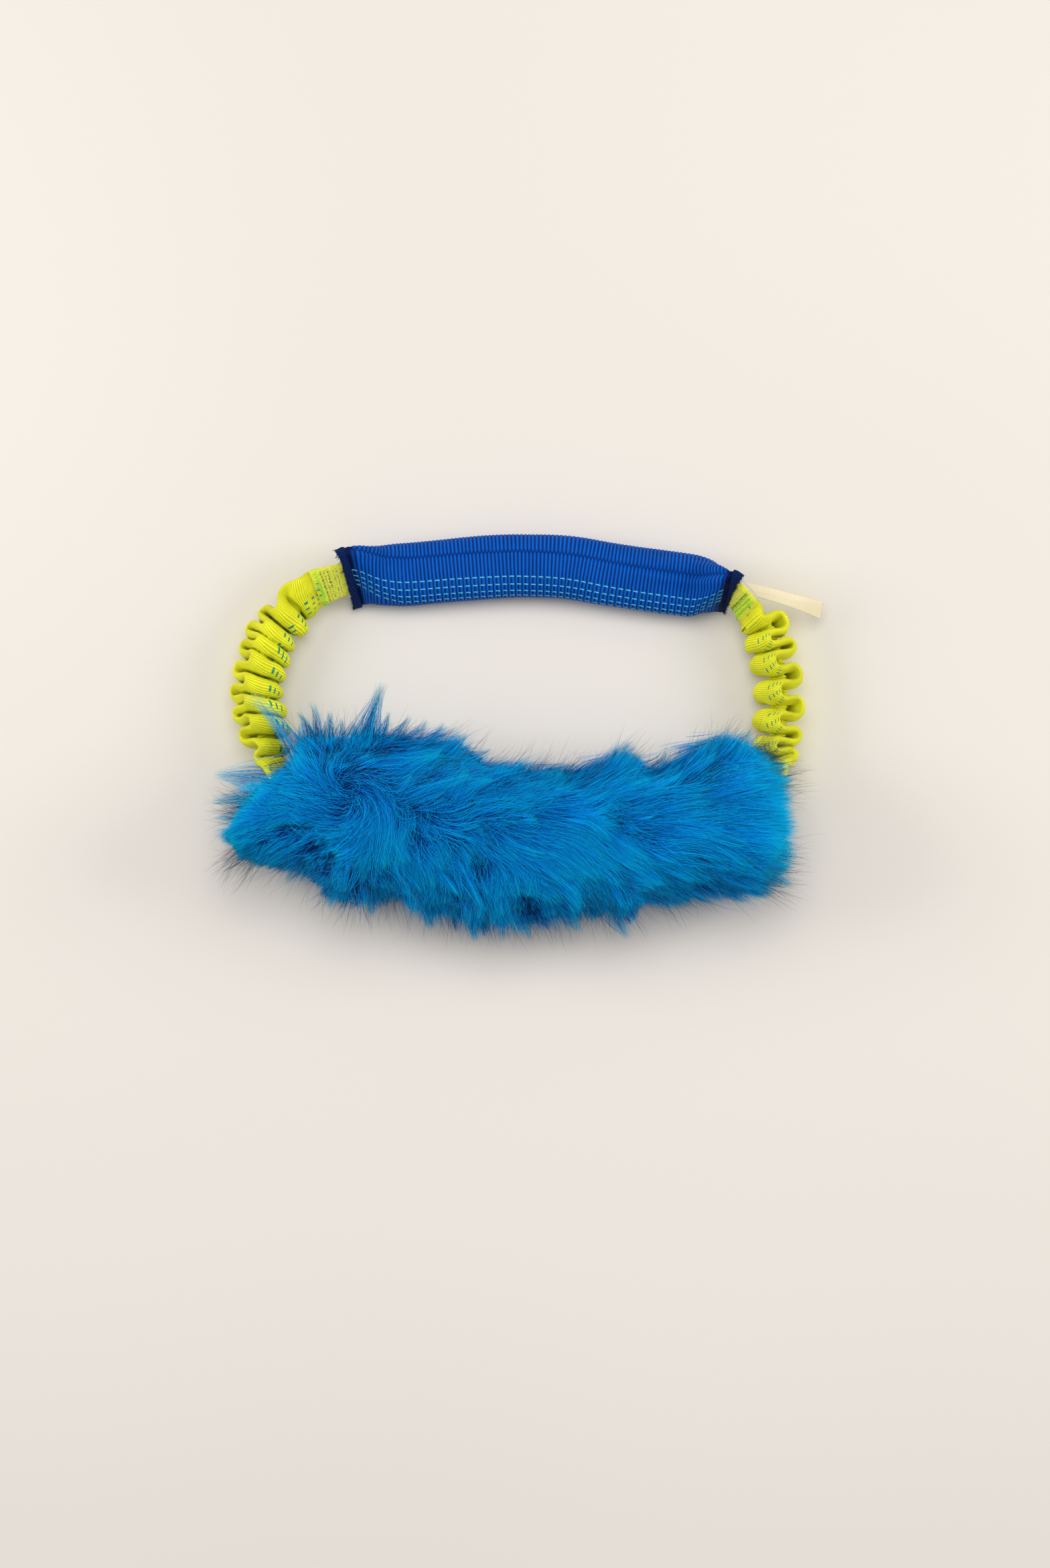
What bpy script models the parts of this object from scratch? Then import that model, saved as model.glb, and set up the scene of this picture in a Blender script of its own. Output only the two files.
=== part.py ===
"""Bungee tug toy: a padded webbing handle, two gathered elastic legs and a faux fur bite.

The whole toy is one closed ring of webbing that lies on a table, +Z up. Every piece is a stretch
of that ring: the handle at the back, an elastic leg at each side and the furry bite at the front.
The ring is followed clockwise as seen from above, from the left end of the handle.
"""

import math

import bmesh
import bpy
import numpy as np
from mathutils import Vector

# Clearances
GAP = 0.0003
FLAT_CUT = 0.0006
CUT_OVERRUN = 0.003
ROUTE_STEP = 0.0005

# The ring as it lies, measured from the middle of the line that the legs fold about
HINGE_SPAN = 0.301
HINGE_HEIGHT = 0.021
HINGE_CENTRE_X = -0.0024
HINGE_CENTRE_Y = -0.0197
HANDLE_REACH = 0.1073
HANDLE_SHIFT = 0.008
HANDLE_SPAN = 0.2312
HANDLE_BOW = 0.0135
HANDLE_DROP = 0.009
BITE_REACH = 0.025
BITE_SHIFT = -0.0035
BITE_SPAN = 0.274
BITE_SAG = 0.024
BITE_DROP = 0.008
BITE_AXIS_HEIGHT = 0.033

# Handle: tubular webbing round a padding roll
HANDLE_WEBBING_WIDTH = 0.050
HANDLE_WALL = 0.0012
HANDLE_WIDE = 0.038
HANDLE_TALL = 0.025
HANDLE_END_THICK = 0.0058
LEFT_FLARE = 0.034
RIGHT_FLARE = 0.027
LEFT_END_TILT = math.radians(50)
RIGHT_END_TILT = math.radians(66)
HANDLE_MID_TILT = math.radians(8)
HANDLE_ROUND_TILT = math.radians(33)
LEFT_END_RAISE = 0.0005
RIGHT_END_RAISE = 0.0015
HEM_LENGTH = 0.0042
HEM_THICK = 0.0009
HANDLE_CORE_INSET = 0.014
HANDLE_CORE_GAP = 0.0009

# Load strap, and the flat sewn ends of the legs
STRAP_WIDTH = 0.025
STRAP_THICK = 0.0022
TACK_THICK = 0.0034
LEFT_TACK_LENGTH = 0.020
RIGHT_TACK_LENGTH = 0.017

# Elastic legs
CORD_DIAMETER = 0.006
CORD_COVER_WALL = 0.0007
LEG_WIDTH = 0.0265
LEG_END_THICK = 0.0094
LIP_REACH = 0.0128
LIP_SKEW = 0.0022
LEFT_BOW = 0.031
RIGHT_BOW = 0.0145
LEFT_LEG_TILT = math.radians(35)
RIGHT_LEG_TILT = math.radians(60)
REST_GAP = 0.0004

# Bite: a fur tube round a padding roll
BACKING_RADIUS = 0.020
BACKING_WALL = 0.0011
BACKING_MOUTH_WIDTH = 0.0282
BACKING_MOUTH_THICK = 0.0074
BACKING_DOME = 0.017
BITE_CORE_INSET = 0.010
BITE_TILT = math.radians(90)
FUR_REACH = 0.0495
FUR_TOP = 0.0385
FUR_PRESS = 0.006
FUR_LEFT_OVERHANG = 0.0275
FUR_RIGHT_OVERHANG = 0.0125
FUR_LEFT_ROUND = 0.026
FUR_RIGHT_ROUND = 0.013
FUR_PART_CLEAR = 0.0015
FUR_PART_LENGTH = 0.030

# Label
LABEL_REACH = 0.0472
LABEL_WIDTH = 0.0098
LABEL_THICK = 0.0009
LABEL_START = 0.0008
LABEL_END = 0.0118
LABEL_TURN = math.radians(-13)
LABEL_UP = 0.0105
LABEL_DROP = 0.022

# Counts
LEFT_LIPS = 8
RIGHT_LIPS = 7
HANDLE_POINTS = 24
HANDLE_STATIONS = 22
LEG_POINTS = 16
STATIONS_PER_LIP = 7
CORD_SIDES = 8
CORD_STATIONS = 18
TACK_STATIONS = 6
FUR_POINTS = 24
FUR_STATIONS = 28
BITE_POINTS = 16
BITE_STATIONS = 17
PART_STATIONS = 5
LABEL_ROWS = 8
LABEL_COLUMNS = 4

# Places along the handle, as shares of its span, and its bow there, as shares of the bow
HANDLE_ROUTE_SHARES = [
    (0.02, 0.12), (0.09, 0.27), (0.153, 0.39), (0.312, 0.74), (0.470, 0.99), (0.576, 0.98),
    (0.682, 0.74), (0.767, 0.58), (0.842, 0.46), (0.896, 0.37), (0.98, 0.065),
]
# Places along each leg from the handle, as shares of its straight run, and its bow there
LEFT_ROUTE_SHARES = [
    (0.0196, 0.103), (0.0625, 0.3245), (0.162, 0.69), (0.2745, 0.83), (0.395, 0.98), (0.502, 0.97),
    (0.613, 0.92), (0.7155, 0.81), (0.80, 0.59), (0.9075, 0.29),
]
RIGHT_ROUTE_SHARES = [
    (0.0255, 0.157), (0.0938, 0.357), (0.22, 0.93), (0.352, 1.0), (0.51, 0.95), (0.651, 0.77),
    (0.783, 0.44), (0.918, 0.10),
]
# Places along the bite from its left end, as shares of its span, and how far it sags there
BITE_ROUTE_SHARES = [(0.16, 0.48), (0.34, 0.82), (0.5, 1.0), (0.68, 0.88), (0.86, 0.40)]
# Height of a leg's middle along it: its share of the handle end's rise, and of the hinge's
LEG_HEIGHT_SHARES = [
    (0.0, 1.0, 0.0), (0.03, 1.0, 0.0), (0.06, 0.92, 0.0), (0.16, 0.42, 0.0), (0.28, 0.06, 0.0), (0.36, 0.0, 0.0),
    (0.74, 0.0, 0.0), (0.88, 0.0, 0.45), (1.0, 0.0, 1.0),
]
# How far the fur reaches past its axis, along it, to the ring's inside and to its outside
FUR_OUTLINE_SHARES = [
    (0.00, 0.46, 0.50), (0.07, 0.42, 0.72), (0.13, 0.64, 0.92), (0.24, 0.96, 1.00),
    (0.34, 1.02, 0.88), (0.44, 0.90, 0.95), (0.52, 0.80, 1.02), (0.62, 0.80, 0.90),
    (0.72, 0.84, 0.82), (0.80, 0.78, 0.80), (0.86, 0.88, 0.84), (0.92, 0.94, 0.92),
    (0.97, 0.74, 0.93), (1.00, 0.40, 0.80),
]
# How strong a leg's lips are along it, from the handle to the bite
LEFT_LIP_SHARES = [(0.0, 0.0), (0.10, 0.35), (0.24, 0.70), (0.34, 1.0), (0.90, 1.0), (1.0, 0.0)]
RIGHT_LIP_SHARES = [(0.0, 0.0), (0.10, 0.20), (0.20, 1.0), (0.93, 0.95), (1.0, 0.0)]
LEG_TURN_SHARE = 0.2
CREASE_SHARE = 0.62
TACK_FLAT_SHARE = 0.55
OVAL_SHARE = 1.0
SLOT_SHARE = 0.5
FUR_SHARE = 0.8
PART_SHARE = 0.7
FUR_END_SHARE = 0.03

ROUND_ANGLE = math.radians(40)
UP = Vector((0, 0, 1))

BLUE = (0.004, 0.114, 0.578)
NAVY = (0.002, 0.014, 0.114)
LIME = (0.679, 0.716, 0.007)
STITCHED_LIME = (0.597, 0.591, 0.052)
WHITE_CORD = (0.62, 0.62, 0.58)
LATEX = (0.55, 0.42, 0.26)
FOAM = (0.72, 0.72, 0.68)
FUR_BLUE = (0.002, 0.223, 0.644)
KNIT_BLUE = (0.004, 0.096, 0.305)
IVORY = (0.871, 0.807, 0.578)

# Each material's colour and roughness
LOOKS = {
    "blue_webbing": (BLUE, 0.55),
    "navy_hem": (NAVY, 0.7),
    "lime_webbing": (LIME, 0.5),
    "stitched_lime": (STITCHED_LIME, 0.6),
    "cord_cover": (WHITE_CORD, 0.7),
    "rubber_strands": (LATEX, 0.6),
    "foam": (FOAM, 0.9),
    "fur": (FUR_BLUE, 0.6),
    "knit_backing": (KNIT_BLUE, 0.85),
    "satin_ribbon": (IVORY, 0.4),
}


def clear_scene():
    for found in list(bpy.data.objects):
        bpy.data.objects.remove(found, do_unlink=True)


def new_collection(name):
    group = bpy.data.collections.new(name)
    bpy.context.scene.collection.children.link(group)
    return group


def new_material(name, colour, roughness):
    made = bpy.data.materials.new(name)
    made.use_nodes = True
    shader = made.node_tree.nodes["Principled BSDF"]
    shader.inputs["Base Color"].default_value = (*colour, 1.0)
    shader.inputs["Roughness"].default_value = roughness
    shader.inputs["Metallic"].default_value = 0.0
    made.diffuse_color = (*colour, 1.0)
    return made


def read_table(table, place, column=1):
    """Reads a hand made table at a place between its rows."""
    rows = np.array(table, dtype=float)
    return float(np.interp(place, rows[:, 0], rows[:, column]))


def mixed(low, high, share):
    return low + (high - low) * share


def eased(share):
    """Runs from 0 to 1 with a level start and a level end."""
    share = min(max(share, 0.0), 1.0)
    return share * share * (3 - 2 * share)


def opened(share):
    """Runs from 0 to 1 fast at first, the way a flat tube opens from its sewn end."""
    return math.sin(min(max(share, 0.0), 1.0) * math.pi / 2)


class Route:
    """One smooth curve through chosen points, read by the distance along it."""

    def __init__(self, points, closed):
        knots = np.array([tuple(p) for p in points], dtype=float)
        self.closed = closed
        if closed:
            knots = np.vstack([knots[-1], knots, knots[0], knots[1]])
        else:
            knots = np.vstack([2 * knots[0] - knots[1], knots, 2 * knots[-1] - knots[-2]])
        spans = np.linalg.norm(np.diff(knots, axis=0), axis=1)
        pieces, self.marks, length = [], [], 0.0
        for k in range(1, len(knots) - 2):
            piece = self.between(knots, spans, k)
            self.marks.append(length)
            pieces.append(piece)
            length += np.linalg.norm(np.diff(piece, axis=0), axis=1).sum()
        self.marks.append(length)
        self.samples = np.vstack([p[:-1] for p in pieces] + [pieces[-1][-1:]])
        steps = np.linalg.norm(np.diff(self.samples, axis=0), axis=1)
        self.places = np.concatenate([[0.0], np.cumsum(steps)])
        self.length = self.places[-1]

    @staticmethod
    def between(knots, spans, k):
        """Points of the stretch from one knot to the next, with slopes weighed by the spans."""
        before, here, after, later = knots[k - 1 : k + 3]
        a, b, c = spans[k - 1 : k + 2]
        leave = (b * (here - before) / a + a * (after - here) / b) / (a + b)
        arrive = (c * (after - here) / b + b * (later - after) / c) / (b + c)
        t = np.linspace(0, 1, max(4, math.ceil(b / ROUTE_STEP)) + 1)[:, None]
        return (
            (2 * t**3 - 3 * t**2 + 1) * here
            + (t**3 - 2 * t**2 + t) * b * leave
            + (3 * t**2 - 2 * t**3) * after
            + (t**3 - t**2) * b * arrive
        )

    def point(self, distance):
        if self.closed:
            distance = distance % self.length
        return np.array([np.interp(distance, self.places, row) for row in self.samples.T])

    def at(self, distance):
        """The point at a distance, and the way the curve runs there."""
        along = self.point(distance + ROUTE_STEP) - self.point(distance - ROUTE_STEP)
        return Vector(self.point(distance)), Vector(along).normalized()


class Frame:
    """Where a band lies at one place, cut upright across its run: its width and its face."""

    def __init__(self, route, distance, tilt=0.0):
        self.middle, run = route.at(distance)
        self.along = Vector((run.x, run.y, 0)).normalized()
        outward = UP.cross(self.along)
        self.wide = outward * math.cos(tilt) + UP * math.sin(tilt)
        self.face = UP * math.cos(tilt) - outward * math.sin(tilt)

    def ring(self, section):
        return [self.middle + self.wide * w + self.face * f for w, f in section]


def section_of(half_wide, half_thick, count, share=OVAL_SHARE, start=0.0):
    """An oval where share is 1, and ever more like a rounded slot as it falls."""
    found = []
    for n in range(count):
        turn = start + 2 * math.pi * n / count
        across, over = math.cos(turn), math.sin(turn)
        found.append(
            (
                half_wide * math.copysign(abs(across) ** share, across),
                half_thick * math.copysign(abs(over) ** share, over),
            )
        )
    return found


def turned(section, tilt):
    c, s = math.cos(tilt), math.sin(tilt)
    return [(w * c - f * s, w * s + f * c) for w, f in section]


def blended(first, second, share):
    return [
        (mixed(a, c, share), mixed(b, d, share)) for (a, b), (c, d) in zip(first, second)
    ]


def inset(section, depth):
    """Moves each point of a round section inwards, square to its own edge."""
    found, count = [], len(section)
    for n, (w, f) in enumerate(section):
        (w0, f0), (w1, f1) = section[n - 1], section[(n + 1) % count]
        edge = math.hypot(w1 - w0, f1 - f0)
        found.append((w - depth * (f1 - f0) / edge, f + depth * (w1 - w0) / edge))
    return found


def spread(start, end, count):
    return [mixed(start, end, n / (count - 1)) for n in range(count)]


def crowded(start, end, near_start, near_end, count):
    """Places between two ends, with half of them near the ends, where the shape changes."""
    each = count // 4
    low = [start + near_start * (1 - math.cos(math.pi / 2 * n / each)) for n in range(each)]
    high = [end - near_end * (1 - math.cos(math.pi / 2 * n / each)) for n in range(each)]
    middle = spread(start + near_start, end - near_end, count - 2 * each)
    return low + middle + high[::-1]


def loft(name, rings, capped=True, twisted=False):
    """A skin through rings of equally many points, with a face over each end if capped.

    A twisted skin is made of triangles that lean the same way on its upper and lower face,
    so that a thin strap keeps its thickness and the channel round it bends alike.
    """
    bm = bmesh.new()
    rows = [[bm.verts.new(p) for p in ring] for ring in rings]
    count = len(rows[0])
    for here, after in zip(rows, rows[1:]):
        for n in range(count):
            m = (n + 1) % count
            corners = [here[n], here[m], after[m], after[n]]
            if twisted:
                corners = corners if n < count // 2 else corners[1:] + corners[:1]
                bm.faces.new(corners[:3])
                bm.faces.new([corners[2], corners[3], corners[0]])
            else:
                bm.faces.new(corners)
    if capped:
        bm.faces.new(rows[0][::-1])
        bm.faces.new(rows[-1])
    mesh = bpy.data.meshes.new(name)
    bm.to_mesh(mesh)
    bm.free()
    return bpy.data.objects.new(name, mesh)


def thicken(made, thickness, offset):
    """Gives an open skin its wall: offset -1 grows it inwards, and 1 outwards."""
    wall = made.modifiers.new("wall", "SOLIDIFY")
    wall.thickness = thickness
    wall.offset = offset
    wall.use_even_offset = True
    wall.use_rim = True


def cut_out(made, cutter):
    cut = made.modifiers.new("cut", "BOOLEAN")
    cut.operation = "DIFFERENCE"
    cut.solver = "EXACT"
    cut.object = cutter


def settle(ring, height=0.0):
    """Presses points that would reach below a height flat onto it."""
    return [Vector((p.x, p.y, max(p.z, height))) for p in ring]


def place_on(share, span, bow_share, bow, start, run, side):
    """A point at a share of the straight run from start, moved to its side by the bow."""
    return start + run * (share * span) + side * (bow_share * bow)


def lowest(section, tilt):
    return -min(f for _, f in turned(section, tilt))


def handle_end_height(tilt, raise_by):
    half = (HANDLE_WEBBING_WIDTH / 2 + GAP + HEM_THICK, HANDLE_END_THICK / 2 + GAP + HEM_THICK)
    return lowest(section_of(*half, HANDLE_POINTS, SLOT_SHARE), tilt) + raise_by


def leg_rest_height(tilt):
    """How high a leg's middle lies when its outermost lips touch the table."""
    least = LEG_END_THICK / 2
    swing, half_thick = (LIP_REACH - least) / 2, (LIP_REACH + least) / 2
    section = section_of(LEG_WIDTH / 2, half_thick, LEG_POINTS)
    return lowest(section, tilt) + swing * math.cos(tilt) + REST_GAP


def handle_height(distance):
    """The height of the handle's middle, which rises towards its flattened ends."""
    middle = HANDLE_TALL / 2 - FLAT_CUT
    left = handle_end_height(LEFT_END_TILT, LEFT_END_RAISE)
    right = handle_end_height(RIGHT_END_TILT, RIGHT_END_RAISE)
    from_left = eased(distance / LEFT_FLARE)
    from_right = eased((HANDLE_SPAN - distance) / RIGHT_FLARE)
    return middle + (left - middle) * (1 - from_left) + (right - middle) * (1 - from_right)


class Layout:
    """The ring's route, and the distances along it at which one piece hands over to the next."""

    def __init__(self):
        hinge = Vector((HINGE_CENTRE_X, HINGE_CENTRE_Y, HINGE_HEIGHT))
        self.hinge = hinge
        half_span = Vector((HINGE_SPAN / 2, 0, 0))
        left_hinge, right_hinge = hinge - half_span, hinge + half_span
        handle = self.chord(HANDLE_SHIFT, HANDLE_REACH, HANDLE_SPAN, HANDLE_DROP)
        bite = self.chord(BITE_SHIFT, -BITE_REACH, BITE_SPAN, BITE_DROP)
        points = self.handle_points(*handle)
        self.left_end, self.right_end = points[0], points[-1]
        right = self.leg_points(
            points[-1], right_hinge, RIGHT_ROUTE_SHARES, RIGHT_BOW, RIGHT_LEG_TILT, -1
        )
        left = self.leg_points(
            points[0], left_hinge, LEFT_ROUTE_SHARES, LEFT_BOW, LEFT_LEG_TILT, 1
        )
        furry = self.bite_points(*bite)
        self.bite_ends, self.bite_run = (furry[0], furry[-1]), bite[1]
        self.bite_middle = furry[1:-1]
        everything = (
            points + right + [right_hinge] + furry[::-1] + [left_hinge] + left[::-1]
        )
        self.ring = Route(everything, closed=True)
        mark = self.ring.marks
        self.handle_start, self.handle_end = mark[0], mark[len(points) - 1]
        count = len(points) + len(right)
        self.right_hinge, self.bite_right = mark[count], mark[count + 1]
        count += len(furry)
        self.bite_left, self.left_hinge = mark[count], mark[count + 1]
        self.loop_end = mark[-1]

    def chord(self, shift, reach, span, drop):
        """The left end of a straight span beside the hinge line, and the way along it."""
        run = Vector((math.sqrt(span**2 - drop**2), -drop, 0))
        middle = Vector((self.hinge.x + shift, self.hinge.y + reach, 0))
        return middle - run / 2, run.normalized(), UP.cross(run.normalized())

    def handle_points(self, start, run, side):
        places = [(0.0, 0.0)] + HANDLE_ROUTE_SHARES + [(1.0, 0.0)]
        found = []
        for share, bow in places:
            point = place_on(share, HANDLE_SPAN, bow, HANDLE_BOW, start, run, side)
            point.z = handle_height(share * HANDLE_SPAN)
            found.append(point)
        return found

    def leg_points(self, start, end, table, bow, tilt, hand):
        """Points of a leg from the handle to the hinge, bowed away from the ring's middle."""
        flat = Vector((end.x - start.x, end.y - start.y, 0))
        span, run = flat.length, flat.normalized()
        side = run.cross(UP) * hand
        rest, found = leg_rest_height(tilt), []
        for share, out in table:
            point = place_on(share, span, out, bow, Vector((start.x, start.y, 0)), run, side)
            from_handle = read_table(LEG_HEIGHT_SHARES, share, 1)
            from_hinge = read_table(LEG_HEIGHT_SHARES, share, 2)
            point.z = rest + (start.z - rest) * from_handle + (end.z - rest) * from_hinge
            found.append(point)
        return found

    def bite_points(self, start, run, side):
        places = [(0.0, 0.0)] + BITE_ROUTE_SHARES + [(1.0, 0.0)]
        found = []
        for share, sag in places:
            point = place_on(share, BITE_SPAN, -sag, BITE_SAG, start, run, side)
            point.z = BITE_AXIS_HEIGHT
            found.append(point)
        return found

    def tilt_at(self, distance):
        """How far the webbing's width is turned up from level, all round the ring."""
        right_leg = self.right_hinge - self.handle_end
        left_leg = self.loop_end - self.left_hinge
        table = [
            (self.handle_start, LEFT_END_TILT),
            (self.handle_start + LEFT_FLARE / 3, LEFT_END_TILT),
            (self.handle_start + LEFT_FLARE, HANDLE_ROUND_TILT),
            (self.handle_start + 2 * LEFT_FLARE, HANDLE_MID_TILT),
            (self.handle_end - 2 * RIGHT_FLARE, HANDLE_MID_TILT),
            (self.handle_end - RIGHT_FLARE, HANDLE_ROUND_TILT),
            (self.handle_end - RIGHT_FLARE / 3, RIGHT_END_TILT),
            (self.handle_end, RIGHT_END_TILT),
            (self.handle_end + right_leg * LEG_TURN_SHARE, RIGHT_LEG_TILT),
            (self.right_hinge - right_leg * LEG_TURN_SHARE, RIGHT_LEG_TILT),
            (self.bite_right, BITE_TILT),
            (self.bite_left, BITE_TILT),
            (self.left_hinge + left_leg * LEG_TURN_SHARE, LEFT_LEG_TILT),
            (self.loop_end - left_leg * LEG_TURN_SHARE, LEFT_LEG_TILT),
            (self.loop_end, LEFT_END_TILT),
        ]
        return read_table(table, distance)

    def frame(self, distance):
        return Frame(self.ring, distance, self.tilt_at(distance))


def handle_places(layout):
    """Distances from the handle's left end: past each hem, then close where it opens."""
    length = layout.handle_end - layout.handle_start
    past_hem = HEM_LENGTH + GAP
    between = crowded(past_hem, length - past_hem, LEFT_FLARE, RIGHT_FLARE, HANDLE_STATIONS)
    return [0.0] + between + [length]


def handle_section(distance, length):
    """The handle's outline square to its run: flat and tilted at the ends, round between."""
    from_left = opened((distance - HEM_LENGTH - GAP) / LEFT_FLARE)
    from_right = opened((length - HEM_LENGTH - GAP - distance) / RIGHT_FLARE)
    tilt = mixed(LEFT_END_TILT, RIGHT_END_TILT, eased(distance / length))
    flat = section_of(HANDLE_WEBBING_WIDTH / 2, HANDLE_END_THICK / 2, HANDLE_POINTS, SLOT_SHARE)
    start = math.atan2(HANDLE_WIDE * math.sin(tilt), HANDLE_TALL * math.cos(tilt))
    full = section_of(HANDLE_WIDE / 2, HANDLE_TALL / 2, HANDLE_POINTS, start=start)
    return blended(turned(flat, tilt), full, min(from_left, from_right))


def handle_rings(layout, depth, least=0.0):
    """Rings of the handle, drawn in by a depth, that lie at least so far from its ends."""
    length = layout.handle_end - layout.handle_start
    rings = []
    for place in handle_places(layout):
        if least <= place <= length - least:
            section = handle_section(place, length)
            section = inset(section, depth) if depth else section
            ring = Frame(layout.ring, layout.handle_start + place).ring(section)
            rings.append(settle(ring, depth))
    return rings


def make_handle_sleeve(layout):
    made = loft("handle_sleeve", handle_rings(layout, 0.0), capped=False)
    thicken(made, HANDLE_WALL, -1)
    return made


def make_hem(name, layout, end, inner, tilt):
    """A sewn band round one flattened end of the handle."""
    band = section_of(
        HANDLE_WEBBING_WIDTH / 2 + GAP, HANDLE_END_THICK / 2 + GAP, HANDLE_POINTS, SLOT_SHARE
    )
    rings = [Frame(layout.ring, place, tilt).ring(band) for place in sorted((end, inner))]
    made = loft(name, rings, capped=False)
    thicken(made, HEM_THICK, 1)
    return made


def make_handle_core(layout, channel):
    """The padding roll, inside the webbing's wall and round the load strap."""
    depth = HANDLE_WALL + HANDLE_CORE_GAP
    made = loft("handle_core", handle_rings(layout, depth, HANDLE_CORE_INSET))
    cut_out(made, channel)
    return made


def make_band(name, layout, places, half_wide, half_thick):
    """A flat strap through places along the ring, square at its ends."""
    outline = [
        (half_wide, -half_thick), (half_wide, half_thick),
        (-half_wide, half_thick), (-half_wide, -half_thick),
    ]
    rings = [layout.frame(place).ring(outline) for place in places]
    return loft(name, rings, twisted=True)


def tack_swell(share):
    """How far a flat sewn end has grown, at a share of its length, to the gathered leg's size."""
    return eased((share - TACK_FLAT_SHARE) / (1 - TACK_FLAT_SHARE))


def make_tack(name, layout, start, end, flat_at_start):
    """The sewn flat end of a leg, which thickens over the end of its cord."""
    rings = []
    for place in spread(start, end, TACK_STATIONS):
        share = (place - start) / (end - start)
        swell = tack_swell(share if flat_at_start else 1 - share)
        half_wide = mixed(STRAP_WIDTH, LEG_WIDTH, swell) / 2
        half_thick = mixed(TACK_THICK, LEG_END_THICK, swell) / 2
        shape = mixed(SLOT_SHARE, OVAL_SHARE, swell)
        section = section_of(half_wide, half_thick, LEG_POINTS, shape)
        rings.append(layout.frame(place).ring(section))
    return loft(name, rings)


def leg_ring(layout, place, share, lips, table, skew_share):
    """One ring of a gathered leg: its lips swell to one face and then to the other."""
    frame = layout.frame(place)
    least = LEG_END_THICK / 2
    swell = (LIP_REACH - least) * read_table(table, share)
    ring = []
    for w, f in section_of(LEG_WIDTH / 2, 1.0, LEG_POINTS):
        turn = math.pi * lips * (share + skew_share * w / LEG_WIDTH)
        top = least + swell * abs(math.cos(turn)) ** CREASE_SHARE
        bottom = least + swell * abs(math.sin(turn)) ** CREASE_SHARE
        lift = (top - bottom) / 2 + f * (top + bottom) / 2
        ring.append(frame.middle + frame.wide * w + frame.face * lift)
    return ring


def make_leg_sleeve(name, layout, start, end, handle_at_start, lips, table, bore):
    """Tubular webbing gathered into lips over the stretch that its cord draws together."""
    rings = []
    for place in spread(start, end, lips * STATIONS_PER_LIP + 1):
        share = (place - start) / (end - start)
        share = share if handle_at_start else 1 - share
        rings.append(leg_ring(layout, place, share, lips, table, LIP_SKEW / (end - start)))
    made = loft(name, rings)
    cut_out(made, bore)
    return made


def make_rod(name, layout, places, radius, capped=True):
    round_section = section_of(radius, radius, CORD_SIDES)
    return loft(name, [layout.frame(place).ring(round_section) for place in places], capped)


def backing_section(distance, depth):
    """The tube's outline at a distance from its flat sewn mouth, drawn in by a depth."""
    shape = mixed(SLOT_SHARE, OVAL_SHARE, opened(distance / BACKING_DOME))
    opening = opened((distance - max(depth, 0.0)) / BACKING_DOME)
    half_wide = mixed(BACKING_MOUTH_WIDTH / 2, BACKING_RADIUS, opening) - depth
    half_thick = mixed(BACKING_MOUTH_THICK / 2, BACKING_RADIUS, opening) - depth
    return section_of(half_wide, half_thick, BITE_POINTS, shape)


def bite_places(layout):
    ends = (layout.bite_right, layout.bite_left)
    return crowded(*ends, BACKING_DOME, BACKING_DOME, BITE_STATIONS)


def bite_rings(layout, depth, least=0.0):
    """Rings of the bite's tube, drawn in by a depth, that lie at least so far from its mouths."""
    rings = []
    for place in bite_places(layout):
        near = min(place - layout.bite_right, layout.bite_left - place)
        if near >= least:
            rings.append(layout.frame(place).ring(backing_section(near, depth)))
    return rings


def make_fur_backing(layout):
    made = loft("fur_backing", bite_rings(layout, 0.0), capped=False)
    thicken(made, BACKING_WALL, -1)
    return made


def make_bite_core(layout, channel):
    made = loft("bite_core", bite_rings(layout, BACKING_WALL + GAP, BITE_CORE_INSET))
    cut_out(made, channel)
    return made


def fur_axis(layout):
    """The middle line of the pile, which runs past both ends of the tube."""
    left, right = layout.bite_ends
    run = layout.bite_run
    tips = (left - run * FUR_LEFT_OVERHANG, right + run * FUR_RIGHT_OVERHANG)
    return Route([tips[0], left] + layout.bite_middle + [right, tips[1]], closed=False)


def end_round(distance, round_over):
    """How much of its full reach the pile has near one of its ends."""
    return math.sqrt(max(1 - (1 - min(distance / round_over, 1.0)) ** 2, FUR_END_SHARE))


def make_fur_pile(layout, channel):
    """The outer shape of the pile: a full tube that lies flat on the table."""
    axis = fur_axis(layout)
    rings = []
    for place in crowded(0.0, axis.length, FUR_LEFT_ROUND, FUR_RIGHT_ROUND, FUR_STATIONS):
        full = end_round(place, FUR_LEFT_ROUND)
        full *= end_round(axis.length - place, FUR_RIGHT_ROUND)
        inside = FUR_REACH * read_table(FUR_OUTLINE_SHARES, place / axis.length, 1)
        outside = FUR_REACH * read_table(FUR_OUTLINE_SHARES, place / axis.length, 2)
        section = []
        for w, f in section_of(1.0, 1.0, FUR_POINTS, FUR_SHARE):
            reach = inside if w > 0 else outside
            height = FUR_TOP if f > 0 else BITE_AXIS_HEIGHT + FUR_PRESS
            section.append((w * reach * full, f * height * full))
        rings.append(settle(Frame(axis, place).ring(section)))
    made = loft("fur_pile", rings)
    cut_out(made, channel)
    return made


def parting_section(share):
    """The way through the pile round a leg: tack sized at the hinge, lip sized beyond it."""
    half_thick = mixed(LEG_END_THICK / 2, LIP_REACH, eased(share)) + FUR_PART_CLEAR
    return section_of(LEG_WIDTH / 2 + FUR_PART_CLEAR, half_thick, BITE_POINTS, PART_SHARE)


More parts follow.
